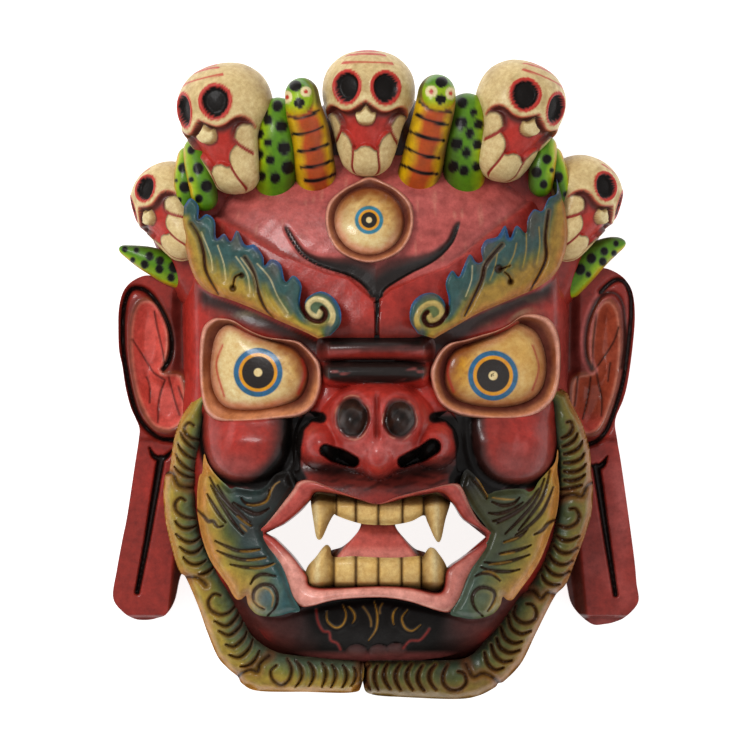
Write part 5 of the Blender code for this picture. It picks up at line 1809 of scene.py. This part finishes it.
def skull_design(u, v, fullness):
    """The relief and the colour of a skull, at a distance round its front and a height.

    fullness is the skull's width at that height, as a share of its greatest width."""
    side = np.abs(u)
    socket = depth_in(side, v, smooth(SOCKET, 40))
    half = list(curve(CHEEK_EDGE, 40)) + list(curve(LOBE_EDGE, 60))
    gape = depth_in(side, v, half + [(-4, -33.9), (-4, -7.2)])
    over = ramp(0, 1.4, np.interp(side, *np.array(CHEEK_EDGE).T) - v)
    seam = nearest_of(side, v, LOBE_SEAMS, 16)
    tooth = depth_in(u, v, smooth(NOSE_TOOTH, 52))
    rise = -3.4 * ramp(-0.3, 1.5, socket) + 0.6 * ridge(socket + 1.6, 1.2)
    rise -= 3.6 * ramp(-0.3, 1.5, gape) - 0.7 * ridge(gape + 1.4, 1.6) * (1 - over)
    rise -= 1.2 * ridge(seam, 1.2)
    rise += ramp(-0.4, 1.6, tooth) * (4.6 * ramp(-11, -15, v) + 2.6 * ramp(-15, -11, v))
    tone = mottle(u * fullness, v, 6)
    age = np.clip(0.14 * tone + 0.75 * ramp(30, 62, side) * ramp(0.1, 0.9, tone) * ramp(0.4, 0.8, fullness)
                  + 0.2 * ramp(14, 24, v), 0, 1)
    stained = 0.45 * ridge(seam, 3.5) + 0.4 * ridge(socket + 5, 2.5) + 0.4 * ramp(-7, -2, gape) * (1 - over)
    age = np.clip(age + stained * ramp(0.35, 0.9, mottle(u, v, 3.4, 0.8)), 0, 0.95)
    colour = mix("bone", "old_bone", age)
    colour = coats(colour, (
        # A painted highlight above the cheek's edge.
        ("cream", 0.55 * ridge(gape + 2.4, 1.6) * (1 - over) * ramp(30, 22, side)),
        # Brown on the lobes' upper edges, partly painted shadow.
        ("groove_brown", 0.8 * ramp(-1.9, -0.5, gape) * over * ramp(0, 4, v + 46))))
    # Maroon under the cheek's edge is painted shadow.
    flesh = mix("bright_red", "maroon", ramp(5.5, 1.6, gape) * ramp(-27, -14, v))
    flesh = coats(flesh, (
        ("maroon", 0.55 * ramp(17, 23, side) + 0.2 * tone),
        ("rose", 0.4 * ramp(0.6, 1, tone) * ramp(3, 6, gape))))
    colour = coats(colour, (
        ("bright_red", 0.9 * ridge(gape + 0.2, 0.9) * (1 - over)),
        (flesh, ramp(-0.4, 0.2, gape)),
        (mix("bright_red", "maroon", 0.5), ramp(1.5, 0.8, seam))))
    ivory = mix("cream", "bone", 0.4 * tone)
    ivory = mix(ivory, "ochre", 0.6 * ramp(2, 0.4, tooth))
    colour = coats(colour, (
        # Painted shadow round the nose tooth.
        ("groove_brown", 0.85 * ramp(-2.2, -0.6, tooth) * ramp(-17, -12, v)),
        ("maroon", 0.8 * ramp(-1.8, -0.3, tooth) * ramp(-12, -17, v)),
        (ivory, ramp(-0.3, 0.3, tooth)),
        ("bright_red", 0.95 * ramp(0.95, 0.45, nearest_of(u, v, BROW_LINES, 12))),
        ("bright_red", ramp(-2.6, -2.1, socket))))
    return rise, mix(colour, "black", ramp(-0.3, 0.2, socket))


def skull(name, centre, scale, turn, pitch, tilt):
    """A skull, worked out upright at its own size, then scaled, turned and put in its place."""
    stations = curve(SKULL_PROFILE, 112)
    places = 152
    share = full_turn(places)
    angles = share - 0.5 * np.sin(share)
    v, half = (np.repeat(part[:, None], places, axis=1) for part in stations.T)
    half = np.maximum(half, 0)
    u = np.tile(SKULL_ROUND * angles, (len(stations), 1))
    rise, paints = skull_design(u, v, half / half.max())
    behind = ramp(1.05, 1.9, np.abs(u) / SKULL_ROUND)
    radius = (half + rise * ramp(0, 9, half)) * (1 - 0.3 * ramp(-5, -25, v) * behind)
    points = np.stack([radius * np.sin(angles), v, radius * 0.97 * np.cos(angles)], axis=-1) * scale
    turned = (Matrix.Rotation(math.radians(tilt), 3, "Z") @ Matrix.Rotation(math.radians(-pitch), 3, "X")
              @ Matrix.Rotation(math.radians(turn), 3, "Y"))
    rings = points @ np.array(turned).T + np.array(centre)

    def colours(x, y, z, row, column):
        rows = np.rint(row * (len(stations) - 1)).astype(int)
        return paints[rows, np.rint(column * places).astype(int) % places]

    loft(name, rings, colours, "bone_paint", ends="poles")


class MASK_OT_skulls(Operator):
    """Carves the five skulls of the crown"""
    bl_idname = "bhairab.skulls"
    bl_label = "Carve the skulls"

    def execute(self, context):
        for word, pose in SKULLS.items():
            skull(f"skull_{word}", *pose)
        return {"FINISHED"}


# ---------------------------------------------------------------- snakes

def round_tube(stations, rows=90, places=80):
    """Rings of a tube along stations of x, y, z and radius, with rounded ends."""
    way = curve(stations, 400)
    steps = np.linalg.norm(np.diff(way[:, :3], axis=0), axis=1)
    passed = np.concatenate([[0], np.cumsum(steps)])
    wanted = passed[-1] * (1 - np.cos(np.linspace(0, math.pi, rows))) / 2
    way = np.stack([np.interp(wanted, passed, way[:, part]) for part in range(4)], axis=-1)
    tangent = np.gradient(way[:, :3], wanted + 1e-9 * np.arange(rows), axis=0)
    tangent /= np.linalg.norm(tangent, axis=1)[:, None]
    side = np.stack([tangent[:, 1], -tangent[:, 0], np.zeros(rows)], axis=-1)
    side /= np.linalg.norm(side, axis=1)[:, None]
    up = np.cross(side, tangent)
    end = np.minimum(wanted, wanted[-1] - wanted)
    radius = way[:, 3] * np.sqrt(np.clip(1 - (1 - np.minimum(end / way[:, 3], 1)) ** 2, 0, 1))
    angles = full_turn(places)
    out = radius[:, None, None] * (np.cos(angles)[:, None] * side[:, None, :]
                                   + np.sin(angles)[:, None] * up[:, None, :])
    return way[:, None, :3] + out


# Each snake's head: the path of its neck, its face and the marks on it.
SNAKE_HEADS = {
    "left": {
        "path": (
            (-34, 100, 38, 12), (-36, 116, 52, 13), (-38.5, 130, 66, 13), (-41, 149.5, 77, 12.3),
            (-44.8, 165, 82, 11.2), (-47, 183, 77, 9.8)),
        "face": (-48.8, 171, 9.6, 11.2), "spots": ((-49.8, 178.3, 3.9), (-47.4, 167.5, 3.5)),
        "eyes": ((-55, 171.3, 3.2, 3.9), (-43.3, 174.6, 3.4, 3.3)),
        "bands": (
            ((-54, 159), (-47, 158.4), (-41, 160), (-35.5, 163)),
            ((-51.5, 148.5), (-45, 148.7), (-38, 150.6), (-33, 153)),
            ((-48.3, 138), (-42, 138.2), (-36, 140), (-29.5, 142.5)),
            ((-46.3, 128), (-40, 128.3), (-33, 130), (-27, 132.5)),
            ((-44, 120), (-37, 119.8), (-31, 121.5), (-25, 124.5)))},
    "right": {
        "path": (
            (22, 100, 38, 12), (24.5, 116, 52, 13.5), (29, 132, 66, 13.2), (33, 150, 77, 12.5),
            (37, 168, 82, 12.2), (38.3, 185, 77, 10.5)),
        "face": (39, 174, 10.4, 11.2), "spots": ((40.6, 180.6, 3.9), (40, 169.8, 3.5)),
        "eyes": ((34.2, 174.6, 3.7, 3.7), (46.2, 173.6, 3.2, 3.8)),
        "bands": (
            ((27, 168.5), (32, 164.8), (39, 163.2), (46.3, 162.2)),
            ((25, 160.5), (31, 157.5), (38, 155.2), (44.3, 154.2)),
            ((20.3, 150.6), (27, 147.5), (34, 145.4), (42, 144.6)),
            ((17, 141.2), (24, 137.5), (31, 134.8), (39, 133.8)),
            ((15, 130.2), (22, 127), (29, 124.6), (38, 124)))}}

# The dotted bodies: the path, which side is lit and the spots.
SNAKE_BODIES = {
    "left": (
        ((-62, 104, 38, 12), (-62, 118, 54, 13), (-61, 136, 68, 13.2), (-61, 152, 70, 13),
         (-60, 168.5, 58, 13)), -1,
        ((-68.5, 162.3, 2), (-67, 157.2, 3.1), (-72, 148.8, 2.8), (-67, 143.3, 2.8), (-72.6, 136, 3.2),
         (-65.5, 132.5, 3), (-71, 122.5, 3), (-62.5, 121.5, 3.3), (-58.5, 153.5, 4), (-57, 140, 4.2),
         (-54.5, 128, 4.2), (-61, 166, 3.4))),
    "right": (
        ((54, 104, 38, 12), (54.5, 120, 54, 13), (55, 138, 68, 13.2), (56, 154, 70, 13),
         (57, 171.5, 58, 13)), 1,
        ((53.5, 168, 3.4), (60.5, 162, 2.4), (63.5, 154.5, 3.2), (52.7, 155.5, 4), (58, 149, 2.9),
         (50, 142.5, 4), (62.8, 142, 3.1), (56, 137, 3), (48, 128.7, 3.6), (54.5, 126, 3.2),
         (62.3, 128.5, 2.8))),
    "left_outer": (
        ((-116, 140, 50, 6), (-118, 128, 58, 6.8), (-118.5, 114, 60, 6.6), (-116, 96, 54, 6)), -1,
        ((-119.8, 128, 3), (-118.6, 116, 3.5), (-122.3, 108, 2), (-124, 120, 1.2))),
    "left_inner": (
        ((-112, 146, 54, 7.5), (-110.5, 132, 62, 8.8), (-107.5, 117, 66, 8.6), (-105, 102, 60, 8)), -1,
        ((-114.6, 139, 2.6), (-110.3, 127.5, 3.5), (-114.6, 120.5, 1.9), (-105, 116.5, 3.7),
         (-109.7, 108.7, 2.6))),
    "right_outer": (
        ((108, 140, 50, 6), (112, 127, 58, 6.6), (115.8, 112, 58, 4.8), (115, 93.5, 56, 2.6)), 1,
        ((113, 122, 3.4), (117.8, 111.5, 1.9), (115, 95.5, 1.8))),
    "right_inner": (
        ((105.5, 147, 54, 7), (104, 135, 62, 8.2), (102.5, 122, 64, 8), (102, 110.5, 60, 7)), 1,
        ((106, 133.2, 3), (99.5, 125, 3.4), (104, 117.5, 2.6), (109, 126.5, 1.5))),
    "left_tail": (
        ((-112, 60, 32, 9.6), (-126, 64.5, 36, 10), (-137, 69.5, 38, 8.8), (-147, 73.5, 38, 6.8),
         (-160, 78.5, 38, 2)), -1,
        ((-156.3, 77.7, 1.9), (-149, 77, 1.8), (-151.3, 71, 1.9), (-144, 68.3, 2.6), (-140.8, 73.3, 2.7),
         (-134.3, 70.5, 2.9), (-134.7, 65.3, 2.7), (-125.5, 66.5, 3.6), (-127.5, 60, 2.6))),
    "right_tail": (
        ((114, 50, 32, 9.4), (126, 62.5, 36, 9.4), (137, 73.5, 38, 8.6), (147, 79.5, 38, 6.2),
         (155.5, 82, 38, 2.6)), 1,
        ((149.3, 81.3, 1.8), (148.2, 75, 2), (142, 76.3, 2.6), (141, 70, 2.6), (134, 72, 3.2),
         (127, 65, 3.4), (132, 62, 2)))}


def snake_skin(across, lit):
    """Green shaded across a body: lime where it is lit, dark green where it isn't."""
    if lit < 0:
        return blends(across, (-1, "snake_yellow"), (-0.75, "snake_lime"), (-0.2, "snake_green"),
                      (0.35, "snake_green"), (0.9, "dark_green"))
    return blends(across, (-0.9, "dark_green"), (-0.3, "snake_green"), (0.3, "snake_green"),
                  (0.7, "snake_lime"), (1, "snake_yellow"))


def snake_body(name, path, lit, spots):
    """A green tube with black spots."""
    rings = round_tube(path)
    turned_down = np.sign(path[0][1] - path[-1][1])

    def colours(x, y, z, row, column):
        across = turned_down * np.cos(2 * math.pi * column)
        colour = snake_skin(across + 0.12 * wander(x, y, 4), lit)
        # Painted shade on the shaded side of the right snakes, and ochre as part of the painted light on the
        # lit edge.
        if lit > 0:
            colour = mix(colour, "soot", 0.3 * ramp(0.2, -0.8, across))
        colour = mix(colour, "ochre", 0.5 * ramp(0.75, 1, lit * across))
        nearest = np.min([np.hypot(x - cx, (y - cy) * 0.92) - r for cx, cy, r in spots], axis=0)
        return mix(colour, "black", ramp(0.55, -0.55, nearest + 0.2 * wander(x, y, 2.4)))

    loft(name, rings, colours, "snake_paint", ends="poles", hollow=True)


def snake_head(name, path, face, spots, eyes, bands, lit):
    """A banded neck that rises to a green face with two eyes."""
    rings = round_tube(path, rows=130, places=120)
    fx, fy, wide, high = face
    centre = rings.mean(axis=1)

    def face_depth(x, y):
        """How far inside the face's edge a place lies."""
        return 10 - 10 * np.hypot((x - fx) / wide, (y - fy) / high)

    depth = face_depth(rings[..., 0], rings[..., 1])
    front = ramp(-2, 4, rings[..., 2] - centre[:, None, 2])
    rings[..., 2] += front * (1.8 * ramp(-0.5, 2.5, depth) - 1.2 * ridge(depth + 0.6, 1))

    def colours(x, y, z, row, column):
        across = -np.cos(2 * math.pi * column)
        colour = blends(across + 0.14 * wander(x, y, 4), (-0.6, "snake_yellow"), (-0.25, "snake_orange"),
                        (0.4, "snake_orange"), (0.72, "snake_yellow"), (1, "old_bone"))
        colour = coats(colour, (
            ("rim_brown", 0.3 * ramp(0, 0.8, wander(x, y, 3))),
            # Painted shade down the middle and at the flanks of the neck.
            ("rim_brown", 0.3 * ridge(across - 0.1, 0.45)),
            ("groove_brown", 0.6 * ramp(0.7, 1, np.abs(across)) * ramp(170, 150, y))))
        band = nearest_of(x, y, bands)
        colour = coats(colour, (
            ("red", 0.3 * ramp(3.5, 1, band) * ramp(1, 0.4, np.abs(across))),
            ("black", ramp(1.25, 0.7, band))))
        inside = face_depth(x, y)
        skin = blends((y - fy) / high, (-1, "snake_yellow"), (-0.4, "snake_lime"), (0.2, "snake_lime"),
                      (0.5, "snake_green"))
        # Ochre and a dark line on the side of the face away from the light are painted shade.
        beyond = mix(skin, "ochre", 0.6 * ramp(0.2, 0.9, -lit * across))
        beyond = mix(beyond, "soot", 0.75 * ridge(-lit * across - 0.86, 0.16))
        colour = coats(colour, (
            (beyond, ramp(fy - 0.72 * high, fy - 0.2 * high, y)),
            ("rim_brown", 0.6 * ridge(inside + 0.7, 0.9) * ramp(fy + 2, fy - 6, y)),
            (skin, ramp(-0.4, 0.4, inside))))
        for cx, cy, rx, ry in eyes:
            reach = np.hypot((x - cx) / rx, (y - cy) / ry)
            colour = coats(colour, (
                ("cream", ramp(1.12, 0.9, reach)),
                ("bright_red", ramp(0.46, 0.3, reach))))
        for cx, cy, r in spots:
            colour = mix(colour, "black", ramp(r + 0.3, r - 0.3, np.hypot(x - cx, (y - cy) * 1.1)))
        return colour

    loft(name, rings, colours, "snake_paint", ends="poles", hollow=True)


# The block behind the skulls and snakes.
CROWN = (
    (98, 20), (121, 44), (134, 74), (142, 98), (128, 122), (110, 140), (98, 168), (70, 162), (42, 150),
    (16, 178), (-22, 178), (-48, 150), (-72, 160), (-98, 166), (-112, 138), (-128, 120), (-142, 98),
    (-134, 72), (-121, 44), (-98, 20))


def crown_design(x, y):
    """A plain rounded block, red below and dark where the crown shades it."""
    inside = depth_in(x, y, smooth(CROWN, 120))
    height = 30 + 22 * np.sqrt(np.clip(1 - (1 - np.clip(inside / 22, 0, 1)) ** 2, 0, 1))
    colour = mix("maroon", "soot", 0.6)
    return height + 0.8 * wander(x, y, 6), mix(colour, "red", 0.85 * ramp(136, 124, y))


class MASK_OT_snakes(Operator):
    """Carves the snakes between the skulls, and the block behind them"""
    bl_idname = "bhairab.snakes"
    bl_label = "Carve the snakes"

    def execute(self, context):
        for word, snake in SNAKE_HEADS.items():
            snake_head(f"snake_head_{word}", lit=-1 if word == "left" else 1, **snake)
        for word, snake in SNAKE_BODIES.items():
            snake_body(f"snake_{word}", *snake)
        carve("crown_block", smooth(CROWN, 120), crown_design, "varnished_red_paint", back=0, spacing=2)
        return {"FINISHED"}


# ---------------------------------------------------------------- stage

FLOOR_REACH = 6
FLOOR_GAP = 0.0005
FAR_CLIP = 50
# The camera stands this far to the left of and below the middle of the mask, in design millimetres.
CAMERA_SHIFT = 0.6


class MASK_OT_stage(Operator):
    """Sets the floor, the lights and the camera that looks down on the lying mask"""
    bl_idname = "bhairab.stage"
    bl_label = "Set the stage"

    def execute(self, context):
        scene = context.scene
        settings = scene.mask_stage
        shape = bmesh.new()
        bmesh.ops.create_grid(shape, x_segments=1, y_segments=1, size=FLOOR_REACH)
        bmesh.ops.translate(shape, vec=(0, 0, LOW.z - FLOOR_GAP), verts=shape.verts)
        floor = new_piece("floor", shape)
        material = bpy.data.materials.new("white_table")
        material.use_nodes = True
        shader = material.node_tree.nodes["Principled BSDF"]
        for name, value in (
                ("Base Color", (*linear("DADAD8"), 1)), ("Roughness", 0.8), ("Emission Color", (1, 1, 1, 1)),
                ("Emission Strength", settings.table_glow)):
            shader.inputs[name].default_value = value
        floor.data.materials.append(material)
        world = bpy.data.worlds.new("soft_room")
        world.use_nodes = True
        sky = world.node_tree.nodes["Background"].inputs
        sky["Color"].default_value = (*linear("F4F5F7"), 1)
        sky["Strength"].default_value = 0.6
        scene.world = world
        scene.view_settings.view_transform = "Standard"
        centre = (LOW + HIGH) / 2
        for name, place, size, power in (
                ("key_light", (-1, 0.9, 1.6), 0.6, settings.key_power),
                ("fill_light", (1.3, -0.5, 1.6), 1.6, settings.fill_power)):
            light = bpy.data.lights.new(name, "AREA")
            light.energy = power
            light.size = size
            lamp = bpy.data.objects.new(name, light)
            scene.collection.objects.link(lamp)
            lamp.location = place
            lamp.rotation_euler = (centre - lamp.location).to_track_quat("-Z", "Y").to_euler()
        camera = bpy.data.cameras.new("camera")
        camera.sensor_width = 36
        camera.lens = camera.sensor_width * (settings.camera_height - centre.z) / settings.view_width
        camera.clip_end = FAR_CLIP
        seen = bpy.data.objects.new("camera", camera)
        scene.collection.objects.link(seen)
        shift = CAMERA_SHIFT * UNIT
        seen.location = (ORIGIN[0] - shift, ORIGIN[1] - shift, settings.camera_height)
        scene.camera = seen
        return {"FINISHED"}


STEPS = (
    MASK_OT_head, MASK_OT_nose, MASK_OT_eyes, MASK_OT_brows, MASK_OT_mouth, MASK_OT_beard, MASK_OT_ears,
    MASK_OT_skulls, MASK_OT_snakes, MASK_OT_stage)


class MASK_PT_panel(Panel):
    """Lists the steps that make the mask, and its settings"""
    bl_label = "Bhairab mask"
    bl_space_type = "VIEW_3D"
    bl_region_type = "UI"
    bl_category = "Bhairab mask"

    def draw(self, context):
        for step in STEPS:
            self.layout.operator(step.bl_idname)
        for settings in (context.scene.mask_carving, context.scene.mask_stage, context.scene.mask_paints):
            for name in settings.__annotations__:
                self.layout.prop(settings, name)


GROUPS = (("mask_paints", MaskPaints), ("mask_carving", MaskCarving), ("mask_stage", MaskStage))


def register():
    """Makes the settings and the steps known to Blender."""
    for name, group in GROUPS:
        bpy.utils.register_class(group)
        setattr(bpy.types.Scene, name, PointerProperty(type=group))
    for kind in (*STEPS, MASK_PT_panel):
        bpy.utils.register_class(kind)


def unregister():
    """Takes the settings and the steps away again."""
    for kind in reversed((*STEPS, MASK_PT_panel)):
        bpy.utils.unregister_class(kind)
    for name, group in reversed(GROUPS):
        delattr(bpy.types.Scene, name)
        bpy.utils.unregister_class(group)


def main():
    """Makes the mask and its stage."""
    register()
    for step in STEPS:
        group, word = step.bl_idname.split(".")
        getattr(getattr(bpy.ops, group), word)()


if __name__ == "__main__":
    main()
